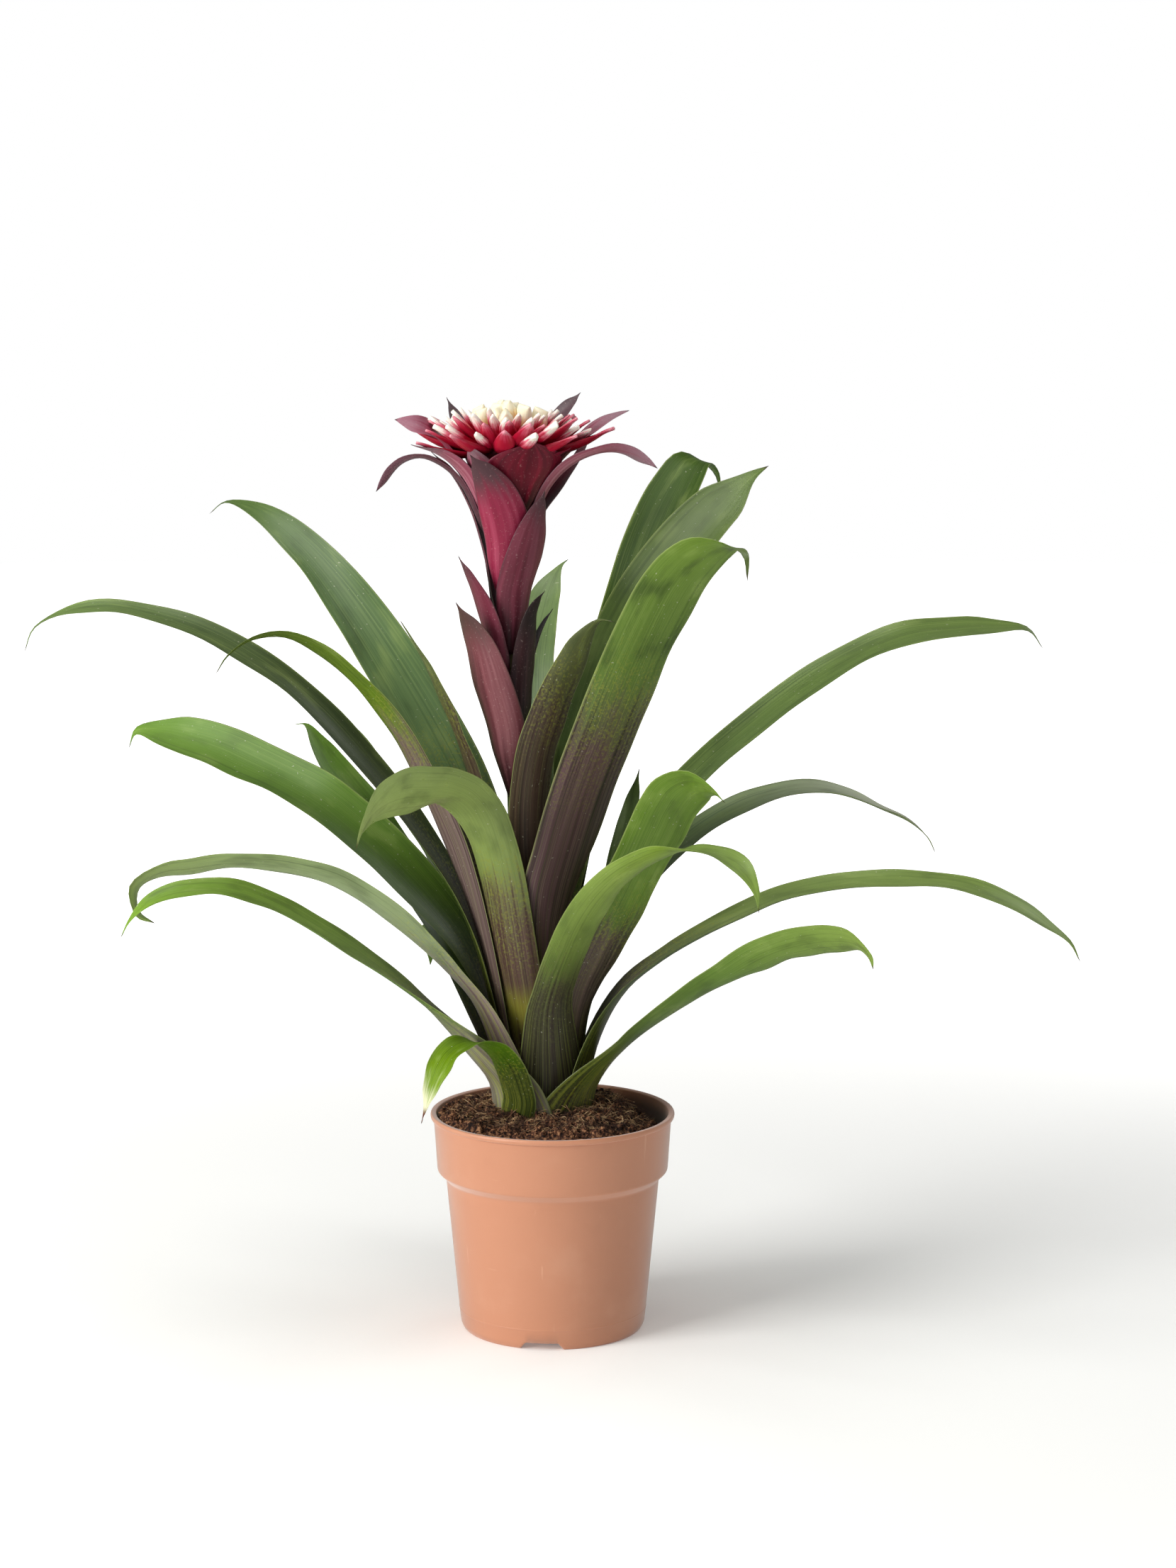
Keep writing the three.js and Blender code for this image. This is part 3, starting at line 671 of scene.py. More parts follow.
@dataclass(frozen=True)
class StemFinish:
    """Green stem with darker streaks."""

    name: str = "stem"
    green: Colour = paint(104, 106, 54)
    dark: Colour = paint(70, 60, 40)

    def material(self) -> Material:
        """Build the stem material.

        Returns:
            The material.
        """
        w = Wiring(self.name)
        streak = w.grain((900.0, 900.0, 30.0), 3.0)
        w.set(Base_Color=w.blend(w.rise(streak, 0.35, 0.7), self.dark, self.green), Roughness=0.5)
        w.relief(streak, 0.3, 0.4 * MM)
        return w.material


class LeafTone(Enum):
    """The finishes that the leaves are dressed in."""

    FRESH = LeafFinish(
        "leaf_fresh", face=paints((62, 78, 28), (96, 128, 46), (126, 152, 66)),
        back_reach=0.24, face_reach=0.07)
    BRIGHT = LeafFinish(
        "leaf_bright", face=paints((40, 58, 6), (76, 112, 24), (92, 134, 28)),
        back=paints((48, 64, 14), (86, 120, 38), (102, 140, 44)), back_reach=0.2, face_reach=0.05,
        mottle=0.25)
    STRIPED = LeafFinish(
        "leaf_striped", face=paints((76, 98, 28), (94, 134, 24), (106, 150, 30)),
        back=paints((104, 110, 80), (110, 138, 58), (112, 150, 38)), flush=paint(96, 84, 82),
        flush_light=paint(150, 146, 128), foot=paint(150, 156, 66), back_reach=0.26, face_reach=0.22)
    DEEP = LeafFinish(
        "leaf_deep", face=paints((38, 54, 18), (62, 88, 28), (82, 114, 36)),
        back=paints((66, 80, 42), (80, 102, 48), (96, 120, 50)), back_reach=0.26)
    SHADED = LeafFinish(
        "leaf_shaded", face=paints((34, 48, 16), (54, 76, 26), (64, 92, 30)),
        back=paints((42, 54, 24), (52, 72, 22), (54, 80, 20)), back_reach=0.24, shine=0.12)
    DULL = LeafFinish(
        "leaf_dull", face=paints((38, 50, 20), (50, 68, 26), (80, 104, 44)),
        back=paints((52, 60, 36), (54, 70, 32), (100, 124, 64)), back_reach=0.26)
    SILVER = LeafFinish(
        "leaf_silver", face=paints((48, 76, 42), (66, 100, 54), (82, 110, 54)),
        back=paints((76, 98, 62), (86, 112, 68), (72, 98, 42)), roughness=0.24)
    PALE_BACK = LeafFinish(
        "leaf_pale_back", face=paints((62, 78, 40), (92, 112, 62), (112, 128, 74)),
        back=paints((92, 120, 68), (128, 150, 98), (196, 198, 180)), back_reach=0.16)
    GREYED = LeafFinish(
        "leaf_greyed", face=paints((138, 146, 118), (150, 168, 120), (140, 164, 88)),
        back=paints((138, 146, 118), (148, 166, 118), (140, 164, 88)), flush=paint(122, 98, 102),
        flush_light=paint(176, 156, 156), foot=paint(178, 182, 84), back_reach=0.28, face_reach=0.26,
        stripes_to=0.26)
    BLOOM = LeafFinish(
        "leaf_bloom", face=paints((58, 74, 26), (122, 146, 64), (112, 144, 26)),
        back=paints((60, 74, 34), (112, 132, 74), (122, 148, 64)), flush=paint(36, 29, 24),
        flush_light=paint(66, 56, 50), foot=paint(86, 90, 44), back_reach=0.27, face_reach=0.27)
    ARCHED = LeafFinish(
        "leaf_arched", face=paints((100, 118, 54), (128, 146, 80), (158, 180, 104)),
        back=paints((122, 118, 56), (116, 132, 66), (136, 150, 92)), flush=paint(60, 38, 40),
        flush_light=paint(98, 72, 66), back_reach=0.36, face_reach=0.36, glow=0.66)
    SPECKLED = LeafFinish(
        "leaf_speckled", face=paints((62, 76, 28), (92, 122, 40), (98, 128, 44)),
        back=paints((80, 82, 52), (108, 132, 54), (110, 138, 48)), flush=paint(50, 40, 40),
        flush_light=paint(98, 80, 76), back_reach=0.5, face_reach=0.44, mottle=0.3)
    MOTTLED = LeafFinish(
        "leaf_mottled", face=paints((66, 72, 44), (80, 104, 40), (100, 128, 46)),
        back=paints((84, 82, 70), (76, 94, 44), (100, 122, 52)), flush=paint(42, 28, 31),
        flush_light=paint(108, 80, 84), back_reach=0.54, face_reach=0.54, mottle=0.6)
    YELLOWING = LeafFinish(
        "leaf_yellowing", face=paints((92, 80, 66), (88, 116, 14), (72, 88, 30)),
        back=paints((84, 72, 62), (88, 116, 16), (78, 90, 38)), flush=paint(78, 58, 60),
        flush_light=paint(126, 106, 102), back_reach=0.58, face_reach=0.58, shine=0.12)
    DUSKY = LeafFinish(
        "leaf_dusky", face=paints((70, 56, 44), (82, 74, 48), (84, 92, 54)),
        back=paints((50, 36, 34), (66, 56, 42), (78, 86, 50)), flush=paint(36, 22, 24),
        flush_light=paint(84, 62, 54), back_reach=0.76, face_reach=0.76)
    COOL = LeafFinish(
        "leaf_cool", face=paints((40, 58, 28), (70, 98, 44), (104, 126, 76)),
        back=paints((40, 58, 28), (70, 98, 44), (104, 126, 76)), back_reach=0.1, mottle=0.3)
    VIVID = BleachedLeafFinish(
        "leaf_vivid", face=paints((40, 58, 6), (74, 114, 0), (120, 160, 0)),
        back=paints((40, 58, 10), (74, 106, 0), (118, 150, 0)), flush=paint(44, 52, 20),
        flush_light=paint(70, 80, 30), back_reach=0.3, face_reach=0.3, mottle=0.2, shine=0.1)


class BractTone(Enum):
    """The finishes that the bracts are dressed in: four colours each, foot, body, bright and end."""

    PLUM = BractFinish("stalk_bract_plum")
    BROWN = BractFinish(
        "stalk_bract_brown", *paints((60, 28, 34), (116, 62, 68), (150, 98, 102), (84, 60, 56)),
        end_from=0.62)
    DARK = BractFinish(
        "stalk_bract_dark", *paints((34, 20, 22), (58, 32, 36), (86, 56, 58), (44, 32, 32)), end_from=0.5)
    SHADED = BractFinish(
        "stalk_bract_shaded", *paints((56, 24, 34), (92, 44, 56), (120, 70, 82), (78, 52, 58)))
    ROSY = BractFinish(
        "stalk_bract_rosy", *paints((112, 24, 48), (138, 32, 62), (174, 72, 98), (84, 56, 62)),
        foot_to=0.16, end_from=0.54)
    HEAD_DUSKY = BractFinish(
        "head_bract_dusky", *paints((104, 22, 46), (142, 66, 86), (186, 130, 142), (132, 98, 108)),
        end_from=0.6)
    HEAD_CURVED = BractFinish(
        "head_bract_curved", *paints((50, 20, 30), (84, 42, 54), (108, 64, 76), (124, 84, 96)), end_from=0.5)
    HEAD_ROSY = BractFinish(
        "head_bract_rosy", *paints((96, 18, 42), (146, 40, 70), (178, 84, 108), (150, 96, 112)), end_from=0.6)
    HEAD_DEEP = BractFinish(
        "head_bract_deep", *paints((44, 12, 22), (98, 8, 32), (150, 22, 52), (122, 46, 66)),
        foot_to=0.6, end_from=0.86)
    HEAD_DARK = BractFinish(
        "head_bract_dark", *paints((60, 24, 34), (96, 52, 64), (132, 90, 100), (82, 60, 66)), end_from=0.5)


@dataclass
class BladeCage:
    """The sections of a blade's CAD solid, from its foot to its tip.

    Attributes:
        middle: Points half way through the blade: station by station, four across.
        tip: The point it ends in.
        columns: Where across the blade the four points are, from -1 to 1.
    """

    middle: np.ndarray
    tip: np.ndarray
    columns: tuple[float, ...] = (-1.0, -0.4, 0.4, 1.0)

    def smooth(self, shares: np.ndarray, across: np.ndarray) -> np.ndarray:
        """Run a smooth sheet through the sections.

        Args:
            shares: Where along the blade the sheet's rows are, from 0 to 1.
            across: Where across it the sheet's columns are, from -1 to 1.

        Returns:
            The sheet's points, row by row.
        """
        tip = np.repeat(self.tip[None, None, :], len(self.columns), axis=1)
        points = np.concatenate([self.middle, tip])
        first = 2 * points[0] - points[1]
        last = 2 * points[-1] - points[-2]
        padded = np.concatenate([first[None], points, last[None]])
        spans = len(points) - 1
        places = [min(share * spans, spans - 1e-9) for share in shares]
        rows = np.array([spline(padded[int(place):int(place) + 4], place - int(place)) for place in places])
        weights = np.ones((len(across), len(self.columns)))
        for j, own in enumerate(self.columns):
            for k, other in enumerate(self.columns):
                if k != j:
                    weights[:, j] *= (across - other) / (own - other)
        return np.einsum("cj,rjx->rcx", weights, rows)


class CageReader:
    """Reads the sections back out of a blade's CAD solid.

    Attributes:
        ring_size: Corners in one section, half on the upper face and half on the under face.
        weld: Corners closer than this are one, in metres.
    """

    ring_size = 8
    weld = 2e-6

    def read(self, node: Piece) -> BladeCage:
        """Find the sections of one blade.

        Args:
            node: The CAD node.

        Returns:
            Its cage.
        """
        mesh = bmesh.new()
        mesh.from_mesh(node.data)
        bmesh.ops.remove_doubles(mesh, verts=mesh.verts, dist=self.weld)
        mesh.verts.index_update()
        mesh.verts.ensure_lookup_table()
        layers = self._layers(mesh)
        rings = [self._ring(mesh, set(outer), set(inner)) for inner, outer in zip(layers, layers[1:])]
        places = np.array([[mesh.verts[i].co[:] for i in ring] for ring in rings])
        tip = np.array(mesh.verts[layers[0][0]].co[:])
        mesh.free()
        return BladeCage(self._halves(self._align(places))[::-1], tip)

    def _layers(self, mesh: Solid) -> list[list[int]]:
        """Sort the corners by how many edges they are from the tip.

        Args:
            mesh: The welded solid.

        Returns:
            The corners' numbers, layer by layer.
        """
        for vert in mesh.verts:
            if len(vert.link_edges) != self.ring_size:
                continue
            seen = {vert.index}
            layers = [[vert.index]]
            while layers[-1]:
                outer = [mesh.verts[i] for i in layers[-1]]
                near = {edge.other_vert(corner).index for corner in outer for edge in corner.link_edges}
                layers.append(sorted(near - seen))
                seen |= near
            layers.pop()
            if all(len(layer) == self.ring_size for layer in layers[1:]):
                return layers
        raise ValueError("no tip found")

    @staticmethod
    def _ring(mesh: Solid, layer: set[int], inner: set[int]) -> list[int]:
        """Order a layer's corners as the faces run round it.

        Args:
            mesh: The welded solid.
            layer: The layer's corners.
            inner: The corners of the layer before it.

        Returns:
            The layer's corners in order.
        """
        after: dict[int, int] = {}
        for face in mesh.faces:
            corners = [v.index for v in face.verts]
            mine = [i for i in range(3) if corners[i] in layer]
            others = [i for i in range(3) if corners[i] in inner]
            if len(mine) == 2 and len(others) == 1:
                first = (others[0] + 1) % 3
                after[corners[first]] = corners[(first + 1) % 3]
        start = next(iter(after))
        ring = [start]
        while after[ring[-1]] != start:
            ring.append(after[ring[-1]])
        return ring

    def _align(self, rings: np.ndarray) -> np.ndarray:
        """Turn each ring's order so that it lines up with the one before.

        Args:
            rings: The corners' places, ring by ring.

        Returns:
            The same rings, lined up.
        """
        made = [rings[0]]
        for ring in rings[1:]:
            turns = [np.roll(ring, -k, axis=0) for k in range(self.ring_size)]
            made.append(min(turns, key=lambda turned: float(np.sum((turned - made[-1]) ** 2))))
        return np.array(made)

    def _halves(self, rings: np.ndarray) -> np.ndarray:
        """Split the rings at the margins.

        Args:
            rings: The corners' places, ring by ring.

        Returns:
            The points half way through the blade.
        """
        half = self.ring_size // 2
        lengths = np.linalg.norm(np.roll(rings, -1, axis=1) - rings, axis=2).sum(axis=0)
        cut = min(range(half), key=lambda i: lengths[i] + lengths[i + half])
        turned = np.roll(rings, -(cut + 1), axis=1)
        one, two = turned[:, :half], turned[:, half:][:, ::-1]
        length_one = np.linalg.norm(np.diff(one, axis=1), axis=2).sum()
        length_two = np.linalg.norm(np.diff(two, axis=1), axis=2).sum()
        upper, under = (one, two) if length_one < length_two else (two, one)
        return self._handed((upper + under) / 2, upper - under)

    @staticmethod
    def _handed(middle: np.ndarray, up: np.ndarray) -> np.ndarray:
        """Order the columns so that across, along (towards the foot) and up are right-handed.

        Args:
            middle: The points half way through the blade.
            up: The way from the under face to the upper one at each.

        Returns:
            The points, with their columns turned round if need be.
        """
        across = (middle[:, -1] - middle[:, 0]).mean(axis=0)
        along = (middle[1:] - middle[:-1]).mean(axis=0).mean(axis=0)
        turn = np.dot(np.cross(across, along), up.mean(axis=0).mean(axis=0))
        return middle if turn < 0 else middle[:, ::-1]


@dataclass(frozen=True)
class Sheath:
    """How a blade's foot clasps the plant.

    Attributes:
        half_angle: Half the angle that it clasps, in degrees.
        end: How far along the blade it reaches.
        power: How quickly it narrows: over 1 quickly, under 1 slowly.
        lift: How far its margins stand off the plant half way up, in metres.
    """

    half_angle: float = 42.0
    end: float = 0.24
    power: float = 1.5
    lift: float = 0.0


@dataclass(frozen=True)
class End:
    """How a blade's outer end differs from its cage.

    Attributes:
        pinch: How much narrower it is, as a share; below 0 it is wider.
        start: Where along the blade the change begins.
        span: How far the change takes, as a share of the blade.
    """

    pinch: float = 0.5
    start: float = 0.84
    span: float = 0.12


@dataclass(frozen=True)
class BladeShape:
    """How a finished blade is made from its cage.

    Attributes:
        rows: Sections along the blade.
        columns: Strips across it.
        thickness: Thickness in the middle of the foot, in metres.
        ripple: How far the margins wave, in metres.
        waves: How many waves there are along the blade.
        sway: How far the blade strays from its cage, in metres.
        strays: How many times it strays to and fro.
        free_from: Where along the blade the waves begin.
        free_full: How far they take to reach their full height.
        free_end: Over how much of the end they die away.
        thinning: How much of the thickness is gone at the end, as a share.
        axis: Where the plant's middle line stands, in metres along X.
    """

    rows: int = 64
    columns: int = 14
    thickness: float = 0.9 * MM
    ripple: float = 0.7 * MM
    waves: float = 5.0
    sway: float = 0.5 * MM
    strays: float = 1.3
    free_from: float = 0.25
    free_full: float = 0.3
    free_end: float = 0.15
    thinning: float = 0.55
    axis: float = PLANT_AXIS


def spline(points: np.ndarray, share: float) -> np.ndarray:
    """Return a point of the smooth line through four points.

    Args:
        points: The four points.
        share: How far it is from the second to the third.

    Returns:
        The point.
    """
    a, b, c, d = points
    t = share
    return 0.5 * (2 * b + (c - a) * t + (2 * a - 5 * b + 4 * c - d) * t**2 + (3 * b - a - 3 * c + d) * t**3)


def ease(share: np.ndarray | float) -> np.ndarray | float:
    """Return a share that starts and stops gently."""
    return share * share * (3 - 2 * share)


@dataclass
class BladeSheet:
    """The middle sheet of a blade, which grows into a smooth, closed piece.

    Attributes:
        grid: The sheet's points, row by row from the foot.
        shares: Where along the blade the rows are, from 0 to 1.
        across: Where across it the columns are, from -1 to 1.
        seed: The blade's own number, which sets its waves and which the material reads.
        shape: How the blade is made.
    """

    grid: np.ndarray
    shares: np.ndarray
    across: np.ndarray
    seed: float
    shape: BladeShape

    @classmethod
    def over(cls, node: Piece, seed: float, shape: BladeShape) -> "BladeSheet":
        """Lay a sheet through the middle of a CAD node.

        Args:
            node: The CAD node.
            seed: The blade's own number.
            shape: How the blade is made.

        Returns:
            The sheet.
        """
        shares = np.linspace(0, 1, shape.rows + 1)
        across = np.sin(np.linspace(-1, 1, shape.columns + 1) * math.pi / 2)
        return cls(CageReader().read(node).smooth(shares, across), shares, across, seed, shape)

    def pinch(self, end: End) -> None:
        """Draw the end out into a thin point, or spread it.

        Args:
            end: How the end differs from the cage.
        """
        step = np.clip((self.shares - end.start) / end.span, 0, 1)
        middle = self.grid[:, self.grid.shape[1] // 2][:, None]
        self.grid = middle + (self.grid - middle) * (1 - end.pinch * ease(step))[:, None, None]

    def clasp(self, sheath: Sheath) -> None:
        """Widen the foot into a sheath that clasps the plant at an even distance.

        Args:
            sheath: How the foot clasps the plant.
        """
        axis = np.array([self.shape.axis, 0.0])
        flat = self.grid[:, :, :2] - axis
        middle = flat[:, flat.shape[1] // 2]
        turn = np.arctan2(middle[:, 1], middle[:, 0])[:, None]
        own = np.arctan2(flat[:, :, 1], flat[:, :, 0]) - turn
        own = (own + math.pi) % FULL_TURN - math.pi
        least = 0.02
        widest = np.maximum(np.abs(own).max(axis=1), least)
        step = np.clip(1 - self.shares / sheath.end, 0, 1)
        wanted = math.radians(sheath.half_angle) * step**sheath.power
        wider = np.maximum(1.0, np.hypot(wanted, widest * (1 - step)) / widest)
        angle = turn + own * wider[:, None]
        side = np.abs(own) / widest[:, None]
        reach = np.linalg.norm(flat, axis=2) + sheath.lift * (step * (1 - step) * 4)[:, None] * side**2
        self.grid = self.grid.copy()
        self.grid[:, :, 0] = axis[0] + reach * np.cos(angle)
        self.grid[:, :, 1] = axis[1] + reach * np.sin(angle)

    def wave(self) -> None:
        """Wave the margins and let the blade stray a little."""
        shape, seed = self.shape, self.seed
        free = np.clip((self.shares - shape.free_from) / shape.free_full, 0, 1)
        free = free * np.clip((1 - self.shares) / shape.free_end, 0, 1)
        # The blade's own number shifts every wave, so no two blades match.
        turn = FULL_TURN * shape.waves * self.shares
        left = np.sin(turn + 9 * seed) * 0.6 + np.sin(1.7 * turn + 5 * seed) * 0.4
        right = np.sin(turn + 9 * seed + 2.1) * 0.6 + np.sin(1.6 * turn + 3 * seed) * 0.4
        side = (self.across + 1) / 2
        margin = np.outer(left, (1 - side) ** 3) + np.outer(right, side**3)
        stray = np.sin(FULL_TURN * shape.strays * self.shares + 7 * seed)[:, None]
        lift = free[:, None] * (shape.ripple * margin + shape.sway * stray)
        self.grid = self.grid + self._facing() * lift[:, :, None]

    def _facing(self) -> np.ndarray:
        """Find which way the upper face looks.

        Returns:
            The upper face's direction at each point.
        """
        along = np.gradient(self.grid, axis=0)
        across = np.gradient(self.grid, axis=1)
        across[-1] = across[-2]
        facing = np.cross(along, across)
        return facing / np.maximum(np.linalg.norm(facing, axis=2, keepdims=True), 1e-12)

    def close(self, name: str) -> Piece:
        """Give the sheet its thickness and close it.

        Args:
            name: The new piece's name.

        Returns:
            The closed piece.
        """
        mesh = bmesh.new()
        self._skin(mesh, *self._corners(mesh))
        bmesh.ops.recalc_face_normals(mesh, faces=mesh.faces)
        return finish_mesh(name, mesh)

    def _corners(self, mesh: Solid) -> tuple[Corners, Corners, Corner]:
        """Add the corners of both faces, which share those on the margins.

        Args:
            mesh: The mesh.

        Returns:
            The upper face's corners row by row, the under face's, and the tip.
        """
        body = (1 - self.across**4) * self.shape.thickness * 0.5
        half = self._facing() * np.outer(1 - self.shape.thinning * self.shares, body)[:, :, None]
        below = mesh.verts.layers.float.new("under")
        tone = mesh.verts.layers.float.new("tone")
        top = [[mesh.verts.new(Vector(place)) for place in row] for row in (self.grid + half)[:-1]]
        foot = []
        for edge, row in zip(top, (self.grid - half)[:-1]):
            inner = [mesh.verts.new(Vector(place)) for place in row[1:-1]]
            for vert in inner:
                vert[below] = 1.0
            edge[0][below] = edge[-1][below] = 0.5
            foot.append([edge[0], *inner, edge[-1]])
        tip = mesh.verts.new(Vector(self.grid[-1, len(self.across) // 2]))
        tip[below] = 0.5
        for vert in mesh.verts:
            vert[tone] = self.seed
        return top, foot, tip

    def _skin(self, mesh: Solid, top: Corners, foot: Corners, tip: Corner) -> None:
        """Add the faces, each with its place on the blade.

        Args:
            mesh: The mesh.
            top: The upper face's corners.
            foot: The under face's corners.
            tip: The tip.
        """
        uv = mesh.loops.layers.uv.new(BLADE_MAP)
        shares, sides = self.shares, (self.across + 1) / 2

        def face(corners: Sequence[Corner], us: Sequence[float], vs: Sequence[float]) -> None:
            """Add one face."""
            for loop, u, v in zip(mesh.faces.new(corners).loops, us, vs):
                loop[uv].uv = (u, v)

        strips = range(len(sides) - 1)
        for sheet in (top, foot):
            for r in range(len(sheet) - 1):
                for c in strips:
                    face((sheet[r][c], sheet[r][c + 1], sheet[r + 1][c + 1], sheet[r + 1][c]),
                         (sides[c], sides[c + 1], sides[c + 1], sides[c]),
                         (shares[r], shares[r], shares[r + 1], shares[r + 1]))
            for c in strips:
                face((sheet[-1][c], sheet[-1][c + 1], tip), (sides[c], sides[c + 1], 0.5),
                     (shares[-2], shares[-2], 1.0))
        for c in strips:
            ring = dict.fromkeys((top[0][c], top[0][c + 1], foot[0][c + 1], foot[0][c]))
            face(list(ring), [sides[c]] * len(ring), [0.0] * len(ring))


def place_object(name: str, data: bpy.types.ID) -> Piece:
    """Put a mesh, a light or a camera in the scene as an object.

    Args:
        name: The object's name.
        data: The mesh, light or camera.

    Returns:
        The object.
    """
    made = bpy.data.objects.new(name, data)
    bpy.context.scene.collection.objects.link(made)
    return made


def finish_mesh(name: str, mesh: Solid, smooth: bool = True) -> Piece:
    """Turn a bmesh into an object in the scene.

    Args:
        name: The object's name.
        mesh: The bmesh, which is freed.
        smooth: Whether its faces are shaded smooth.

    Returns:
        The object.
    """
    for face in mesh.faces:
        face.smooth = smooth
    data = bpy.data.meshes.new(name)
    mesh.to_mesh(data)
    mesh.free()
    return place_object(name, data)


def frozen(name: str, carrier: Piece) -> Piece:
    """Return what a carrier's modifiers make of it, as a new plain object.

    Args:
        name: The new object's name.
        carrier: The object with the modifiers.

    Returns:
        The new object.
    """
    graph = bpy.context.evaluated_depsgraph_get()
    data = bpy.data.meshes.new_from_object(carrier.evaluated_get(graph), depsgraph=graph)
    data.name = name
    return place_object(name, data)


def drop(*things: Piece) -> None:
    """Remove helper objects."""
    for thing in things:
        bpy.data.objects.remove(thing, do_unlink=True)


def settle(piece: Piece, nodes: Sequence[str], finish: Material | None) -> None:
    """Dress a piece, fix it to the body and say what it stands for.

    Args:
        piece: The piece.
        nodes: The CAD nodes that it stands for.
        finish: Its material, or None if it has one already.
    """
    if finish is not None:
        piece.data.materials.clear()
        piece.data.materials.append(finish)
    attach(piece, ROOT)
    if nodes:
        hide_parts(*nodes)
    log.info("%s: %d faces, for %s", piece.name, len(piece.data.polygons), ", ".join(nodes) or "detail")


def names_of(start: str) -> list[str]:
    """Return the CAD nodes whose names start so, in the record's order."""
    return [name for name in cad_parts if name.startswith(start)]


def own_number(name: str) -> float:
    """Return a number from 0 to 1 that is always the same for a name."""
    return (sum((i + 1) * ord(letter) for i, letter in enumerate(name)) % 997) / 997


@dataclass
class BladeFamily:
    """Blades of one kind, each grown over its CAD node.

    Attributes:
        start: How the names of the CAD nodes start.
        piece_start: How the names of the pieces start.
        slot: The record's material slot; not used.
        shape: How the blades are made.
        usual_tone: The finish of a blade without one of its own.
        usual_sheath: How a foot clasps the plant, or None to leave it as the node has it.
        tones: The blades of each other finish, by how their names go on.
        sheaths: The sheath of each blade with one of its own.
        ends: The outer end of each blade with one of its own.
    """

    start: str
    piece_start: str
    slot: str
    shape: BladeShape
    usual_tone: Enum
    usual_sheath: Sheath | None = None
    tones: dict[Enum, str] = field(default_factory=dict)
    sheaths: dict[str, Sheath | None] = field(default_factory=dict)
    ends: dict[str, End] = field(default_factory=dict)

    def build(self) -> None:
        """Grow and dress every blade."""
        usual = self.usual_tone.value.material()
        finishes = {}
        for tone, owns in self.tones.items():
            finishes.update(dict.fromkeys(owns.split(), tone.value.material()))
        for name in names_of(self.start):
            own = name.removeprefix(self.start)
            sheet = BladeSheet.over(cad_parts[name], own_number(name), self.shape)
            sheet.pinch(self.ends.get(own, End()))
            sheath = self.sheaths.get(own, self.usual_sheath)
            if sheath:
                sheet.clasp(sheath)
            sheet.wave()
            settle(sheet.close(self.piece_start + own), [name], finishes.get(own, usual))


@dataclass
class Rosette(BladeFamily):
    """The leaves that grow from the crown."""

    start: str = "leaf_"
    piece_start: str = "blade_"
    slot: str = "leaf"
    shape: BladeShape = BladeShape()
    usual_tone: Enum = LeafTone.DEEP
    usual_sheath: Sheath | None = Sheath()
    tones: dict[Enum, str] = field(default_factory=lambda: {
        LeafTone.SILVER: "left_upper", LeafTone.YELLOWING: "left_narrow", LeafTone.DULL: "left_long",
        LeafTone.BRIGHT: "left_broad back_left_folded", LeafTone.GREYED: "left_low",
        LeafTone.STRIPED: "left_lowest", LeafTone.ARCHED: "front_left_arched",
        LeafTone.BLOOM: "front_right_arched", LeafTone.SPECKLED: "front_right_broad",
        LeafTone.VIVID: "front_small", LeafTone.MOTTLED: "right_front_upper",
        LeafTone.PALE_BACK: "right_curled", LeafTone.FRESH: "right_lower right_low back_left_middle",
        LeafTone.DUSKY: "inner_front inner_left", LeafTone.COOL: "inner_back",
        LeafTone.SHADED: "back_right_upper"})
    sheaths: dict[str, Sheath | None] = field(default_factory=lambda: {
        "left_low": Sheath(80.0, 0.26, 0.9, 1 * MM), "left_lowest": Sheath(84.0, 0.28, 0.9, 1 * MM),
        "right_low": Sheath(94.0, 0.24, 1.1, 1 * MM), "right_lower": Sheath(66.0, 0.26, 0.9, 1 * MM),
        "front_right_arched": Sheath(68.0, 0.28, 1.2), "front_small": None})
    ends: dict[str, End] = field(default_factory=lambda: {
        "front_left_arched": End(-0.15, 0.7, 0.2), "front_small": End(0.8, 0.8, 0.16)})


@dataclass
class FlowerStalk(BladeFamily):
    """The stalk and the bracts that clasp it."""

    start: str = "stalk_bract_"
    piece_start: str = "stalk_blade_"
    slot: str = "stalk_bract"
    shape: BladeShape = BladeShape(
        rows=40, columns=12, thickness=0.7 * MM, ripple=0.35 * MM, waves=2.5, sway=0.2 * MM)
    usual_tone: Enum = BractTone.DARK
    tones: dict[Enum, str] = field(default_factory=lambda: {
        BractTone.ROSY: "front", BractTone.BROWN: "front_left_low", BractTone.PLUM: "left front_right",
        BractTone.SHADED: "back_left back_right back"})

    def build(self) -> None:
        """Grow and dress the bracts, and dress the CAD's own stems."""
        super().build()
        stem = StemFinish().material()
        for name in ("flower_stalk", "crown_stem"):
            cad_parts[name].data.materials.clear()
            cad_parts[name].data.materials.append(stem)


@dataclass
class HeadBracts(BladeFamily):
    """The outer bracts of the flower head."""

    start: str = "head_bract_"
    piece_start: str = "head_blade_"
    slot: str = "head_bract"
    shape: BladeShape = BladeShape(
        rows=36, columns=12, thickness=0.7 * MM, ripple=0.5 * MM, waves=2.0, sway=0.2 * MM)
    usual_tone: Enum = BractTone.HEAD_DUSKY
    tones: dict[Enum, str] = field(default_factory=lambda: {
        BractTone.HEAD_DEEP: "front_right right_front", BractTone.HEAD_DARK: "back_left back_right back",
        BractTone.HEAD_CURVED: "left_curved", BractTone.HEAD_ROSY: "left"})
    ends: dict[str, End] = field(default_factory=lambda: {
        "front_right": End(-1.3, 0.4, 0.5), "left": End(-0.25, 0.25, 0.35),
        "left_curved": End(-0.15, 0.25, 0.35), "right_long": End(-0.5, 0.25, 0.35),
        "right": End(-0.2, 0.25, 0.35), "front_left_long": End(-0.5, 0.25, 0.35)})


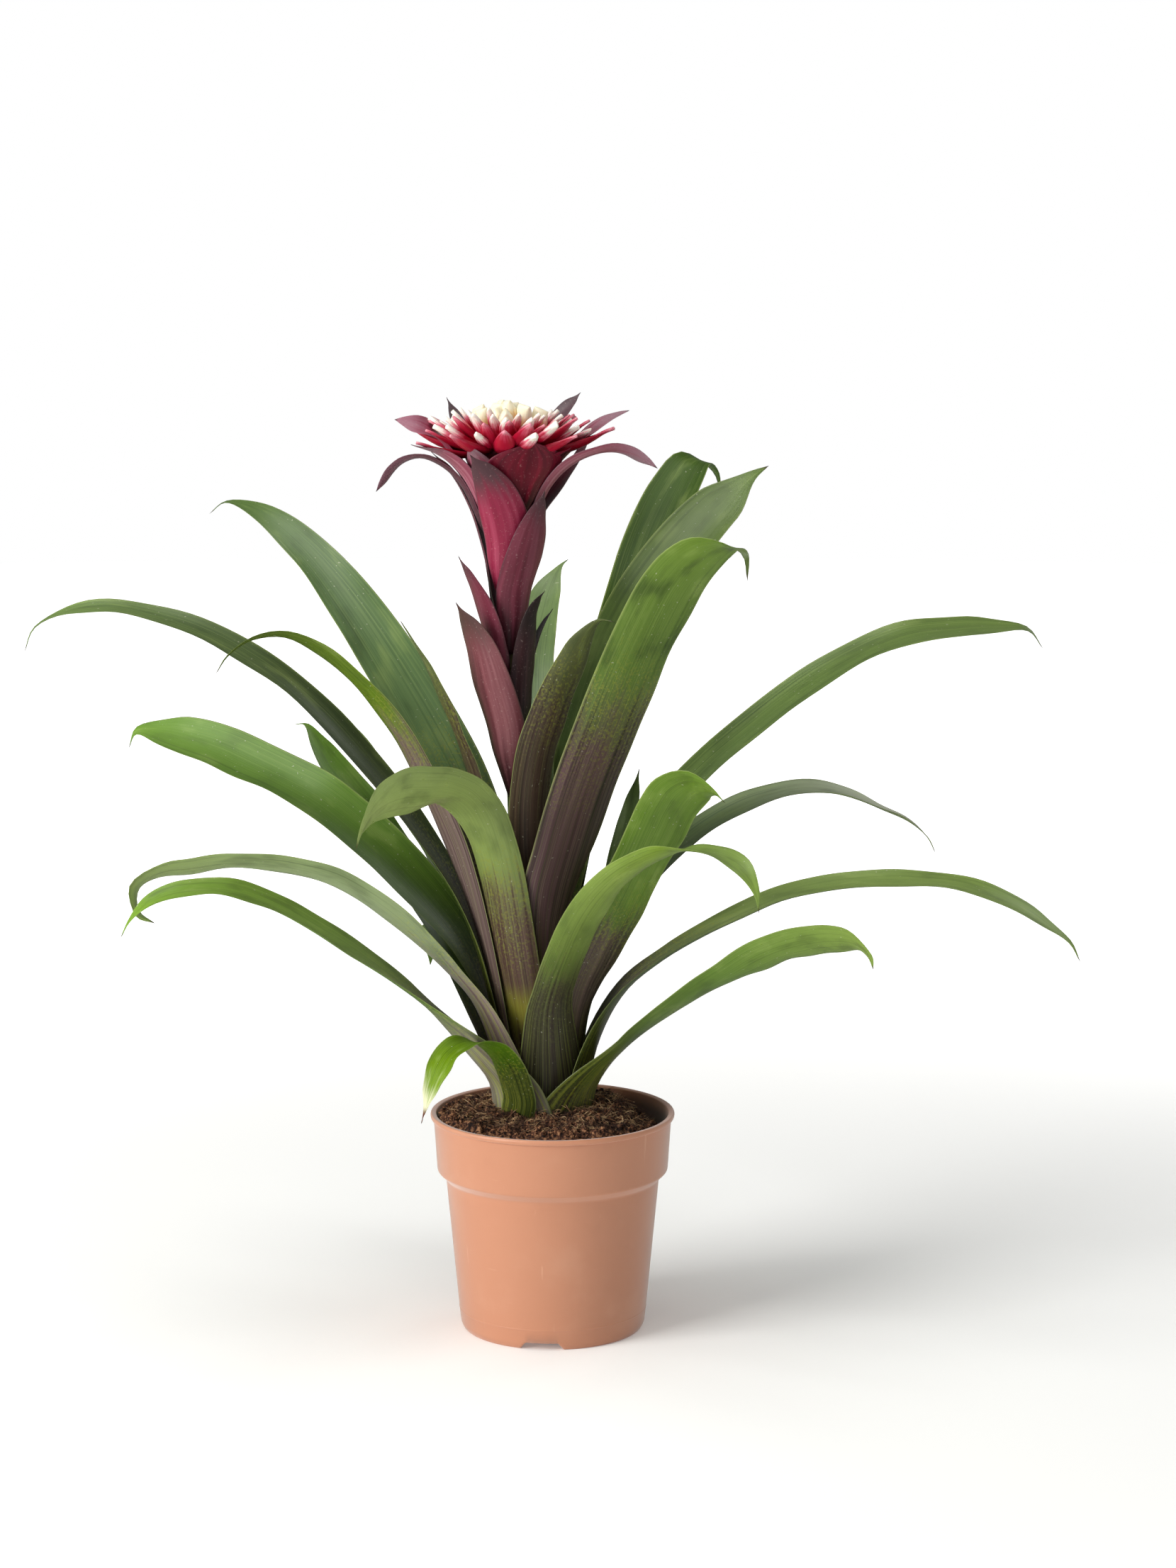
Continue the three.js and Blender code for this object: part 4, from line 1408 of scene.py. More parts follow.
class TreeSheet(NodeSheet):
    """The node sheet of one Geometry Nodes tree."""

    def __init__(self, name: str) -> None:
        """Make the tree with a geometry input and output.

        Args:
            name: The tree's name.
        """
        self.tree = bpy.data.node_groups.new(name, "GeometryNodeTree")
        self.inputs: dict[str, str] = {}
        for way in ("INPUT", "OUTPUT"):
            self.tree.interface.new_socket("Geometry", in_out=way, socket_type="NodeSocketGeometry")
        self.entry = self.tree.nodes.new("NodeGroupInput")
        self.exit = self.tree.nodes.new("NodeGroupOutput")

    def size(self, name: str, kind: str = "NodeSocketFloat") -> Socket:
        """Add a named input.

        Args:
            name: The input's name.
            kind: The socket's type name.

        Returns:
            The socket that carries its value inside the tree.
        """
        socket = self.tree.interface.new_socket(name, in_out="INPUT", socket_type=kind)
        self.inputs[name] = socket.identifier
        return self.entry.outputs[name]

    def between(self, share: Number, start: Number, end: Number) -> Socket:
        """Return the value a share of the way from start to end."""
        return self.add("ShaderNodeMapRange", {"Value": share, "To Min": start, "To Max": end}).outputs[0]

    def chance(self, low: float, high: float, seed: int) -> Socket:
        """Return a seeded random number for each element."""
        feeds = {"Seed": seed, 2: low, 3: high}
        return self.add("FunctionNodeRandomValue", feeds, data_type="FLOAT").outputs[1]

    def chance_vector(self, low: Sequence[float], high: Sequence[float], seed: int) -> Socket:
        """Return a seeded random vector for each element."""
        feeds = {"Seed": seed, 0: low, 1: high}
        return self.add("FunctionNodeRandomValue", feeds, data_type="FLOAT_VECTOR").outputs[0]

    def compare(self, first: Number, test: str, second: Number) -> Socket:
        """Return whether a test between two numbers holds."""
        return self.add("FunctionNodeCompare", {0: first, 1: second}, operation=test).outputs[0]

    def copies(self, points: bpy.types.Node, pattern: Piece, turn: Socket, size: Socket,
               finish: Material) -> None:
        """End the tree with real, dressed copies of a pattern on points.

        Args:
            points: The node that gives the points.
            pattern: What is repeated.
            turn: Each copy's rotation.
            size: Each copy's scale.
            finish: Their material.
        """
        source = self.add("GeometryNodeObjectInfo", {"Object": pattern})
        placed = self.add("GeometryNodeInstanceOnPoints", {
            "Points": points.outputs[0], "Instance": source.outputs["Geometry"],
            "Rotation": turn, "Scale": size})
        real = self.add("GeometryNodeRealizeInstances", {"Geometry": placed.outputs[0]})
        dressed = self.add("GeometryNodeSetMaterial", {"Geometry": real.outputs[0], "Material": finish})
        self.tree.links.new(dressed.outputs[0], self.exit.inputs[0])

    def run(self, name: str, carrier: Piece, values: dict[str, object]) -> Piece:
        """Run the tree on a carrier and return the result as a plain object.

        Args:
            name: The new object's name.
            carrier: The object that the tree reads.
            values: A value for each named input.

        Returns:
            The new object.
        """
        modifier = carrier.modifiers.new("grow", "NODES")
        modifier.node_group = self.tree
        for key, value in values.items():
            modifier[self.inputs[key]] = value
        made = frozen(name, carrier)
        carrier.modifiers.remove(modifier)
        for face in made.data.polygons:
            face.use_smooth = True
        return made


@dataclass(frozen=True)
class Petal:
    """A tongue-shaped petal of unit length that stands along Z with its hollow towards -X.

    Attributes:
        width: Width at its widest, as a share of the length.
        hollow: How deep the spoon is, as a share of the length.
        thickness: Thickness, as a share of the length.
        curl: How far the end leans outwards (positive) or inwards, as a share of the length.
        widest: Where along the petal it is widest.
        foot: Width at the foot, as a share of the widest.
        bluntness: How square the end is.
        rows: Sections along it.
        columns: Strips across it.
    """

    width: float
    hollow: float
    thickness: float
    curl: float
    widest: float
    foot: float
    bluntness: float
    rows: int = 11
    columns: int = 6

    def build(self, name: str) -> Piece:
        """Make the petal.

        Args:
            name: The object's name.

        Returns:
            The petal, a closed mesh.
        """
        shares = np.sin(np.linspace(0, 1, self.rows + 1) * math.pi / 2)
        across = np.linspace(-1, 1, self.columns + 1)
        grid = np.array([[self._point(s, a) for a in across] for s in shares])
        shape = BladeShape(thickness=2 * self.thickness, thinning=0.3)
        return BladeSheet(grid, shares, across, 0.5, shape).close(name)

    def _half_width(self, share: float) -> float:
        """Find half the width of the petal.

        Args:
            share: Where along its length.

        Returns:
            Half the width there.
        """
        if share < self.widest:
            rise = math.sin(share / self.widest * math.pi / 2)
            return 0.5 * self.width * (self.foot + (1 - self.foot) * rise)
        past = (share - self.widest) / (1 - self.widest)
        return 0.5 * self.width * max(0.0, 1 - past**self.bluntness) ** 0.6

    def _point(self, share: float, across: float) -> list[float]:
        """Find one point of the petal's middle sheet.

        Args:
            share: Where along the petal.
            across: Where across it, from -1 to 1.

        Returns:
            The point.
        """
        least = 0.004
        half = max(self._half_width(share), least)
        depth = self.hollow * (1 - across**2) * math.sin(min(1.0, share * 1.15) * math.pi)
        return [self.curl * share**2 + depth, half * across, share]


@dataclass(frozen=True)
class Spiral:
    """Petals on a golden-angle spiral that closes towards the middle of the head.

    Attributes:
        name: The piece's name.
        slot: The record's material slot; not used.
        stands_for: How the names of the CAD nodes that it replaces start, or nothing.
        petal: The petal that is repeated.
        finish: Its finish.
        count: How many there are.
        seed: The seed of what is random.
        turn: The spiral's first turn.
        radius: Its radius at the outer and the inner end, in millimetres.
        height: Its height over the head's middle at both ends, in millimetres.
        lean: How far the petals lean out at both ends, in radians.
        length: The petals' length at the outer end, in millimetres.
        shorter: Their length at the inner end, as a share of that.
    """

    name: str
    slot: str
    stands_for: str | None
    petal: Petal
    finish: PetalFinish
    count: int
    seed: int
    turn: float
    radius: tuple[float, float]
    height: tuple[float, float]
    lean: tuple[float, float]
    length: float
    shorter: float

    def build(self, centre: Vector) -> None:
        """Set the petals and dress them.

        Args:
            centre: The middle of the head, at its top.
        """
        petal = self.petal.build(self.name + "_pattern")
        sheet = TreeSheet(self.name)
        self._plant(sheet, petal, self.finish.material())
        carrier = finish_mesh(self.name + "_carrier", bmesh.new())
        piece = sheet.run(self.name, carrier, {"Count": self.count, "Centre": tuple(centre), **self._sizes()})
        drop(carrier, petal)
        settle(piece, names_of(self.stands_for) if self.stands_for else [], None)

    def _sizes(self) -> dict[str, float]:
        """Return the tree's sizes by the names of its inputs, in metres."""
        ends = {"radius": [r * MM for r in self.radius], "height": [h * MM for h in self.height],
                "lean": self.lean, "scale": (self.length * MM, self.shorter * self.length * MM)}
        return {"Turn": self.turn, **{f"{end} {key}": pair[k] for key, pair in ends.items()
                                      for k, end in enumerate(("Outer", "Inner"))}}

    def _plant(self, sheet: TreeSheet, petal: Piece, finish: Material) -> None:
        """Build the tree that sets the petals.

        Args:
            sheet: The tree's sheet.
            petal: The petal that is repeated.
            finish: Its material.
        """
        total = sheet.size("Count", "NodeSocketInt")
        given = {key: sheet.size(key) for key in self._sizes()}
        middle = sheet.size("Centre", "NodeSocketVector")
        index = sheet.add("GeometryNodeInputIndex").outputs[0]
        share = sheet.maths("DIVIDE", index, sheet.minus(total, 1.0))
        wound = sheet.plus(sheet.times(index, GOLDEN_ANGLE), given["Turn"])
        turn = sheet.plus(wound, sheet.chance(-0.12, 0.12, self.seed))
        radius, height, lean, scale = (
            sheet.between(share, given[f"Outer {key}"], given[f"Inner {key}"])
            for key in ("radius", "height", "lean", "scale"))
        lean = sheet.plus(lean, sheet.chance(-0.1, 0.1, self.seed + 1))
        scale = sheet.times(scale, sheet.chance(0.88, 1.1, self.seed + 2))
        x = sheet.times(radius, sheet.maths("COSINE", turn))
        y = sheet.times(radius, sheet.maths("SINE", turn))
        spot = sheet.join(x, y, height)
        place = sheet.add("ShaderNodeVectorMath", {0: spot, 1: middle}, operation="ADD").outputs[0]
        points = sheet.add("GeometryNodePoints", {"Count": total, "Position": place})
        sheet.copies(points, petal, sheet.join(0.0, lean, turn), sheet.join(scale, scale, scale), finish)


@dataclass
class FlowerHead:
    """The outer bracts, the fleshy core, the crimson and white-tipped inner bracts and the cream buds.

    Attributes:
        bracts: The outer bracts.
        core: Radius and height over the head's middle of the core's outline, in millimetres.
        core_segments: Pieces round the core.
        spirals: The inner bracts and the buds.
    """

    bracts: HeadBracts = field(default_factory=HeadBracts)
    core: tuple[tuple[float, float], ...] = (
        (0, -71), (3.6, -71), (5, -63), (9, -53), (13, -43), (17, -31), (18.4, -23), (15.5, -16), (9, -11),
        (0, -9))
    core_segments: int = 40
    spirals: tuple[Spiral, ...] = (
        Spiral("head_skirt", "inner_bract", None,
               Petal(width=0.34, hollow=0.08, thickness=0.03, curl=-0.05, widest=0.36, foot=0.9,
                     bluntness=1.5),
               PetalFinish("inner_bract_crimson", *paints((98, 4, 22), (168, 14, 46), (192, 66, 92),
                                                          (216, 140, 152)), end_from=0.74, end_full=0.99),
               count=26, seed=41, turn=1.3, radius=(13, 9), height=(-25, -21), lean=(1.38, 1.08),
               length=40, shorter=0.66),
        Spiral("head_inner_bracts", "inner_bract", "inner_bract_",
               Petal(width=0.24, hollow=0.05, thickness=0.06, curl=-0.06, widest=0.62, foot=0.9,
                     bluntness=2.2),
               PetalFinish("inner_bract_white_tip"),
               count=42, seed=11, turn=0.2, radius=(13, 7), height=(-23, -18), lean=(1.3, 0.84),
               length=31, shorter=0.62),
        Spiral("head_buds", "bud", "bud_cluster",
               Petal(width=0.5, hollow=0.12, thickness=0.3, curl=-0.1, widest=0.62, foot=0.6,
                     bluntness=2.2),
               PetalFinish("bud_cream", *paints((150, 20, 50), (206, 128, 92), (236, 206, 150),
                                                (245, 236, 205)), end_from=0.38, end_full=0.7),
               count=11, seed=23, turn=0.0, radius=(9.5, 2.5), height=(-18.4, -14.4), lean=(0.66, 0.04),
               length=16, shorter=0.88))

    def build(self) -> None:
        """Grow and dress the whole head."""
        self.bracts.build()
        low, high = (Vector(corner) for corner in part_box("bud_cluster"))
        centre = Vector(((low.x + high.x) / 2, (low.y + high.y) / 2, high.z))
        self._core(centre)
        for spiral in self.spirals:
            spiral.build(centre)

    def _core(self, centre: Vector) -> None:
        """Make the fleshy goblet under the buds.

        Args:
            centre: The middle of the head, at its top.
        """
        rounded = [(r * MM, z * MM) for r, z in smooth_profile(self.core, 4)]
        piece = finish_mesh("head_core", turn_profile(rounded, self.core_segments, centre))
        w = Wiring("head_core_red")
        fine = w.noise(w.place(), 500.0, 3.0)
        w.set(Base_Color=w.blend(fine, paint(96, 10, 28), paint(150, 18, 44)), Roughness=0.5)
        settle(piece, [], w.material)


def smooth_profile(points: Sequence[tuple[float, float]], steps: int) -> list[tuple[float, float]]:
    """Run a smooth line through the points of a profile.

    Args:
        points: Radius and height of each point.
        steps: Pieces between two points.

    Returns:
        The finer profile.
    """
    arr = np.array(points, dtype=float)
    padded = np.vstack([2 * arr[0] - arr[1], arr, 2 * arr[-1] - arr[-2]])
    places = [spline(padded[k:k + 4], t) for k in range(len(arr) - 1)
              for t in np.linspace(0, 1, steps, endpoint=False)]
    made = [(max(0.0, float(place[0])), float(place[1])) for place in places]
    return [*made, (float(arr[-1][0]), float(arr[-1][1]))]


def fillet(points: Sequence[tuple[float, float, float]], steps: int = 4) -> list[tuple[float, float]]:
    """Round the corners of a profile.

    Args:
        points: Radius, height and the room that the rounding takes at each corner.
        steps: Pieces in each rounding.

    Returns:
        The rounded profile.
    """
    nearly_half = 0.48
    made: list[tuple[float, float]] = []
    for k, (radius, height, room) in enumerate(points):
        corner = Vector((radius, height))
        if room <= 0 or k in (0, len(points) - 1):
            made.append((radius, height))
            continue
        before = Vector(points[k - 1][:2]) - corner
        after = Vector(points[k + 1][:2]) - corner
        start = corner + before.normalized() * min(room, before.length * nearly_half)
        end = corner + after.normalized() * min(room, after.length * nearly_half)
        for step in range(steps + 1):
            t = step / steps
            spot = start * (1 - t) ** 2 + corner * 2 * t * (1 - t) + end * t**2
            made.append((spot.x, spot.y))
    return made


def turn_profile(profile: Sequence[tuple[float, float]], segments: int, centre: Vector,
                 lift: Callable[[float, float, float], float] | None = None) -> Solid:
    """Turn a profile that starts and ends on the axis into a closed solid.

    Args:
        profile: Radius and height of each point, in metres.
        segments: Pieces round the axis.
        centre: Where the axis stands.
        lift: Gives the height of a point from its radius, height and turn.

    Returns:
        The solid.
    """
    on_axis = 1e-7
    mesh = bmesh.new()
    rings = []
    for radius, height in profile:
        if radius < on_axis:
            rings.append([mesh.verts.new(centre + Vector((0, 0, height)))])
            continue
        ring = []
        for k in range(segments):
            angle = FULL_TURN * k / segments
            raised = lift(radius, height, angle) if lift else height
            spot = Vector((radius * math.cos(angle), radius * math.sin(angle), raised))
            ring.append(mesh.verts.new(centre + spot))
        rings.append(ring)
    for one, two in zip(rings, rings[1:]):
        for k in range(segments):
            corners = [one[k % len(one)], one[(k + 1) % len(one)], two[(k + 1) % len(two)], two[k % len(two)]]
            corners = list(dict.fromkeys(corners))
            if len(corners) > 2:
                mesh.faces.new(corners)
    bmesh.ops.recalc_face_normals(mesh, faces=mesh.faces)
    return mesh


@dataclass
class NurseryPot:
    """The thin-walled pot with its lip, band, foot ring, notches and drain holes.

    Sizes are in millimetres and angles in degrees, as the mould has them. An inset is how far
    something stands inside the lip, or the foot ring inside the body's foot. A notch is this much
    narrower than its width on each side at its top, and wider at its foot.
    """

    rim: float = 60.0
    height: float = 108.0
    wall: float = 1.4
    lip: float = 2.6
    band: float = 26.0
    band_top_inset: float = 1.7
    band_foot_inset: float = 3.4
    body_inset: float = 7.6
    band_chamfer: float = 4.0
    foot: float = 45.2
    foot_height: float = 4.0
    foot_inset: float = 1.2
    foot_width: float = 2.6
    bevel_height: float = 3.0
    notch_height: float = 3.6
    notch_width: float = 20.0
    notch_narrower: float = 1.8
    notch_wider: float = 0.9
    notch_first: float = 263.5
    notch_count: int = 3
    seam: float = 10.0
    hole_radius: float = 4.0
    hole_ring: float = 31.0
    hole_first: float = 30.0
    hole_count: int = 6
    hole_segments: int = 28
    drill_length: float = 9.0
    segments: int = 288

    def build(self) -> None:
        """Make the pot and dress it."""
        profile = [(r * MM, z * MM) for r, z in fillet(self._outline())]
        blank = finish_mesh("pot_blank", turn_profile(profile, self.segments, Vector(), self._notched))
        settle(self._drilled(blank), ["nursery_pot"], PotPlasticFinish().material())

    def _outline(self) -> list[tuple[float, float, float]]:
        """Draw the section of the pot, from under the floor to its top.

        Returns:
            Radius, height and rounding of each corner.
        """
        ring = self.foot - self.foot_inset
        lip_foot = self.height - self.lip
        band_foot = lip_foot - self.band
        body_top = band_foot - self.band_chamfer
        body_radius = self.rim - self.body_inset
        band_radius = self.rim - self.band_foot_inset
        top_radius = self.rim - self.band_top_inset
        slope = (body_radius - self.foot) / (body_top - self.bevel_height)
        at_seam = self.foot + 0.3 + slope * (self.seam - self.bevel_height)
        floor = self.foot_height + self.wall
        return [
            (0, self.foot_height, 0),
            (ring - self.foot_width, self.foot_height, 0.5),
            (ring - self.foot_width, 0, 0.3),
            (ring, 0, 0.5),
            (self.foot + 0.1, 2.4, 1.2),
            (at_seam - 0.04, self.seam - 0.25, 0.1),
            (at_seam + 0.12, self.seam, 0.1),
            (at_seam + 0.02, self.seam + 0.5, 0.2),
            (body_radius, body_top, 1.2),
            (band_radius, band_foot, 0.9),
            (top_radius, lip_foot - 0.1, 0.4),
            (self.rim - 0.4, lip_foot, 0.35),
            (self.rim, self.height - self.lip / 2, 0.9),
            (self.rim - 0.5, self.height, 0.6),
            (top_radius - self.wall, self.height - 0.4, 0.6),
            (band_radius - self.wall, band_foot + 0.5, 1.2),
            (body_radius - self.wall, body_top, 1.2),
            (self.foot - self.wall, floor, 1.6),
            (0, floor, 0),
        ]

    def _notched(self, radius: float, height: float, angle: float) -> float:
        """Raise the foot ring where a notch is cut in it.

        Args:
            radius: The point's radius, in metres.
            height: Its height, in metres.
            angle: Its turn, in radians.

        Returns:
            Its new height, in metres.
        """
        inner = self.foot - self.foot_inset - self.foot_width - 0.1
        if height >= self.notch_height * MM or radius < inner * MM:
            return height
        step = 360 / self.notch_count
        off = (math.degrees(angle) - self.notch_first + step / 2) % step - step / 2
        away = math.radians(abs(off)) * self.foot
        top, bottom = self.notch_width / 2 - self.notch_narrower, self.notch_width / 2 + self.notch_wider
        share = min(1.0, max(0.0, (bottom - away) / (bottom - top)))
        return max(height, share * self.notch_height * MM)

    def _drilled(self, blank: Piece) -> Piece:
        """Cut the drain holes through the floor.

        Args:
            blank: The pot without holes, which is removed.

        Returns:
            The pot.
        """
        drills = bmesh.new()
        for k in range(self.hole_count):
            angle = math.radians(self.hole_first) + FULL_TURN * k / self.hole_count
            made = bmesh.ops.create_cone(
                drills, cap_ends=True, segments=self.hole_segments, radius1=self.hole_radius * MM,
                radius2=self.hole_radius * MM, depth=self.drill_length * MM)
            spot = Vector((math.cos(angle), math.sin(angle), 0)) * self.hole_ring * MM
            bmesh.ops.translate(drills, verts=made["verts"], vec=spot + Vector((0, 0, self.foot_height * MM)))
        cutter = finish_mesh("pot_drills", drills, smooth=False)
        cut = blank.modifiers.new("drain", "BOOLEAN")
        cut.operation = "DIFFERENCE"
        cut.solver = "EXACT"
        cut.object = cutter
        piece = frozen("pot_shell", blank)
        drop(blank, cutter)
        return piece


@dataclass(frozen=True)
class Litter:
    """One kind of loose bit on the soil.

    Attributes:
        name: The piece's name.
        count: About how many there are.
        seed: The seed of what is random.
        smallest: The smallest scale along each axis.
        largest: The largest.
        reach: How far from the pot's axis they lie, in millimetres.
        fibre_steps: How many lengths a fibre is made of, or 0 for crumbs.
        tilt: How far they may tilt either way, in radians.
    """

    name: str
    count: int
    seed: int
    smallest: tuple[float, float, float]
    largest: tuple[float, float, float]
    reach: float
    fibre_steps: int = 0
    tilt: float = math.pi


@dataclass
class PeatSoil:
    """The soil: a lumpy top heaped round the plant, with crumbs and fibres on it.

    Sizes are in millimetres and turns in radians. The heap, the sunken side and the heap at the
    wall are those of the CAD solid. The heap's shares of the mound are given at its radii, and the
    unevenness is how much larger the lumps make the area.
    """

    level: float = 104.0
    mound: float = 8.0
    heap_radii: tuple[float, ...] = (30, 35, 42, 50, 56.1)
    heap_shares: tuple[float, ...] = (1.0, 0.9, 0.45, 0.0, -0.25)
    sink: float = 9.0
    sink_turn: float = math.radians(40)
    heap_start: float = 31.3
    rim_heap: float = 5.8
    rim_heap_turn: float = math.radians(240)
    rim_heap_spread: float = 0.4
    rim_heap_start: float = 36.0
    rim_heap_span: float = 14.0
    wall_room: float = 3.0
    edge: float = 56.1
    bottom: float = 84.0
    bottom_edge: float = 54.6
    lump: float = 3.2
    lump_width: float = 8.5
    grain: float = 2.4
    grain_width: float = 2.1
    settled: float = 0.2
    unevenness: float = 2.0
    rings: int = 84
    segments: int = 300
    litter: tuple[Litter, ...] = (
        Litter("soil_crumbs", 9000, 5, (0.3, 0.3, 0.3), (1.4, 1.2, 1.0), 53.6),
        Litter("soil_clods", 480, 31, (1.3, 1.2, 1.1), (3.2, 2.6, 2.2), 51.0),
        Litter("soil_fibres", 6900, 17, (0.14, 0.5, 0.5), (0.7, 1.3, 1.3), 49.5, 4, 0.75),
        Litter("soil_roots", 190, 53, (0.5, 1.2, 1.2), (1.3, 2.3, 2.3), 42.0, 10, 0.75))

    def build(self) -> None:
        """Make the soil and what lies on it."""
        peat = PeatFinish().material()
        fibre = FibreFinish().material()
        root = FibreFinish("peat_root", tan=paint(226, 192, 148), brown=paint(140, 100, 68)).material()
        body = self._body()
        finishes = (peat, peat, fibre, root)
        bits = [self._scatter(litter, body, finish) for litter, finish in zip(self.litter, finishes)]
        settle(body, ["peat_soil"], peat)
        for piece in bits:
            settle(piece, [], None)

    def _top(self, radius: float, angle: float) -> float:
        """Find the even height of the top, without its lumps.

        Args:
            radius: The point's radius.
            angle: Its turn, in radians.

        Returns:
            The height there.
        """
        heap = float(np.interp(radius, self.heap_radii, self.heap_shares))
        facing = max(0.0, math.cos(angle - self.sink_turn))
        wall = self.edge - self.wall_room
        reach = min(1.0, max(0.0, (radius - self.heap_start) / (wall - self.heap_start)))
        sunk = self.sink * facing * facing * ease(reach)
        nearness = min(1.0, max(0.0, self.rim_heap_spread + math.cos(angle - self.rim_heap_turn)))
        heaped = nearness * min(1.0, max(0.0, (radius - self.rim_heap_start) / self.rim_heap_span))
        return self.level + self.mound * heap + self.rim_heap * heaped - sunk

    def _lumpy(self, radius: float, height: float, angle: float) -> float:
        """Give the top its lumps.

        Args:
            radius: The point's radius, in metres.
            height: Its even height, in metres.
            angle: Its turn, in radians.

        Returns:
            Its height in metres, which is left as it is on the sides.
        """
        if height < self.level * MM - 1e-6:
            return height
        r = radius / MM
        spot = Vector((r * math.cos(angle), r * math.sin(angle), 0.0))
        rise = noise.fractal(spot / self.lump_width, 0.8, 2.1, 3) * self.lump
        rise += noise.fractal(spot / self.grain_width + Vector((9, 2, 5)), 0.9, 2.0, 3) * self.grain
        fade = min(1.0, max(0.0, (self.edge - r) / 2))
        return (self._top(r, angle) + rise * fade - self.settled) * MM

    def _body(self) -> Piece:
        """Make the body of the soil.

        Returns:
            The closed body.
        """
        radii = np.linspace(1.0, self.edge, self.rings)
        top = [(0.0, (self.level + self.mound) * MM)] + [(r * MM, self.level * MM) for r in radii]
        sides = [(self.bottom_edge * MM, self.bottom * MM), (0.0, self.bottom * MM)]
        return finish_mesh("soil_body", turn_profile(top + sides, self.segments, Vector(), self._lumpy))

    @staticmethod
    def _crumb() -> Piece:
        """Make one crumb, about a millimetre across.

        Returns:
            The crumb, round the origin.
        """
        mesh = bmesh.new()
        bmesh.ops.create_icosphere(mesh, subdivisions=1, radius=0.75 * MM)
        for vert in mesh.verts:
            vert.co *= 1 + 0.45 * noise.noise(vert.co / (0.5 * MM))
        return finish_mesh("crumb_pattern", mesh, smooth=False)

    @staticmethod
    def _fibre(steps: int) -> Piece:
        """Make one bent fibre with a three-sided section.

        Args:
            steps: How many lengths it is made of.

        Returns:
            The fibre, across the origin.
        """
        mesh = bmesh.new()
        radius, length, bend, rise = 0.14 * MM, 12 * MM, 1.6 * MM, 0.9 * MM
        rings = []
        for k in range(steps + 1):
            t = k / steps - 0.5
            centre = Vector((t * length, bend * math.sin(3.4 * t + 0.4), rise * (0.25 - t * t) * 4))
            taper = radius * (1 - 1.4 * abs(t))
            rings.append([mesh.verts.new(centre + Vector((0, taper * math.cos(a), taper * math.sin(a))))
                          for a in (0.0, 2.09, 4.19)])
        for one, two in zip(rings, rings[1:]):
            for i in range(3):
                mesh.faces.new((one[i], one[(i + 1) % 3], two[(i + 1) % 3], two[i]))
        mesh.faces.new(rings[0])
        mesh.faces.new(rings[-1])
        bmesh.ops.recalc_face_normals(mesh, faces=mesh.faces)
        return finish_mesh("fibre_pattern", mesh)

    def _scatter(self, litter: Litter, ground: Piece, finish: Material) -> Piece:
        """Scatter one kind of loose bit over the top of the soil.

        Args:
            litter: What is scattered.
            ground: The soil's body.
            finish: The bits' material.

        Returns:
            The bits as one plain mesh.
        """
        pattern = self._fibre(litter.fibre_steps) if litter.fibre_steps else self._crumb()
        sheet = TreeSheet(litter.name)
        density = sheet.size("Density")
        chosen_seed = sheet.size("Seed", "NodeSocketInt")
        reach = sheet.size("Reach")
        x, y, _ = sheet.split(sheet.add("GeometryNodeInputPosition").outputs[0])
        upward = sheet.split(sheet.add("GeometryNodeInputNormal").outputs[0])[2]
        facing_up = sheet.compare(upward, "GREATER_THAN", 0.35)
        inside = sheet.compare(sheet.length(sheet.join(x, y)), "LESS_THAN", reach)
        top = sheet.add("FunctionNodeBooleanMath", {0: facing_up, 1: inside}, operation="AND").outputs[0]
        spread = sheet.add("GeometryNodeDistributePointsOnFaces", {
            "Mesh": sheet.entry.outputs[0], "Selection": top, "Density": density, "Seed": chosen_seed})
        tilt = litter.tilt
        turn = sheet.chance_vector((-tilt, -tilt, 0), (tilt, tilt, FULL_TURN), litter.seed + 1)
        size = sheet.chance_vector(litter.smallest, litter.largest, litter.seed + 2)
        sheet.copies(spread, pattern, turn, size, finish)
        area = self.unevenness * math.pi * (litter.reach * MM) ** 2
        values = {"Density": litter.count / area, "Seed": litter.seed, "Reach": litter.reach * MM}
        made = sheet.run(litter.name, ground, values)
        drop(pattern)
        return made


@dataclass(frozen=True)
class Softbox:
    """A square light that is aimed at the plant, in metres and watts."""

    name: str
    place: tuple[float, float, float]
    size: float
    power: float
    tint: tuple[float, float, float]
    aim: tuple[float, float, float] = (0, 0, 0.24)

    def build(self) -> None:
        """Hang the light."""
        data = bpy.data.lights.new(self.name, "AREA")
        data.size = self.size
        data.energy = self.power
        data.color = self.tint
        lamp = place_object(self.name, data)
        lamp.location = self.place
        aim = Vector(self.aim) - Vector(self.place)
        lamp.rotation_euler = aim.to_track_quat("-Z", "Y").to_euler()


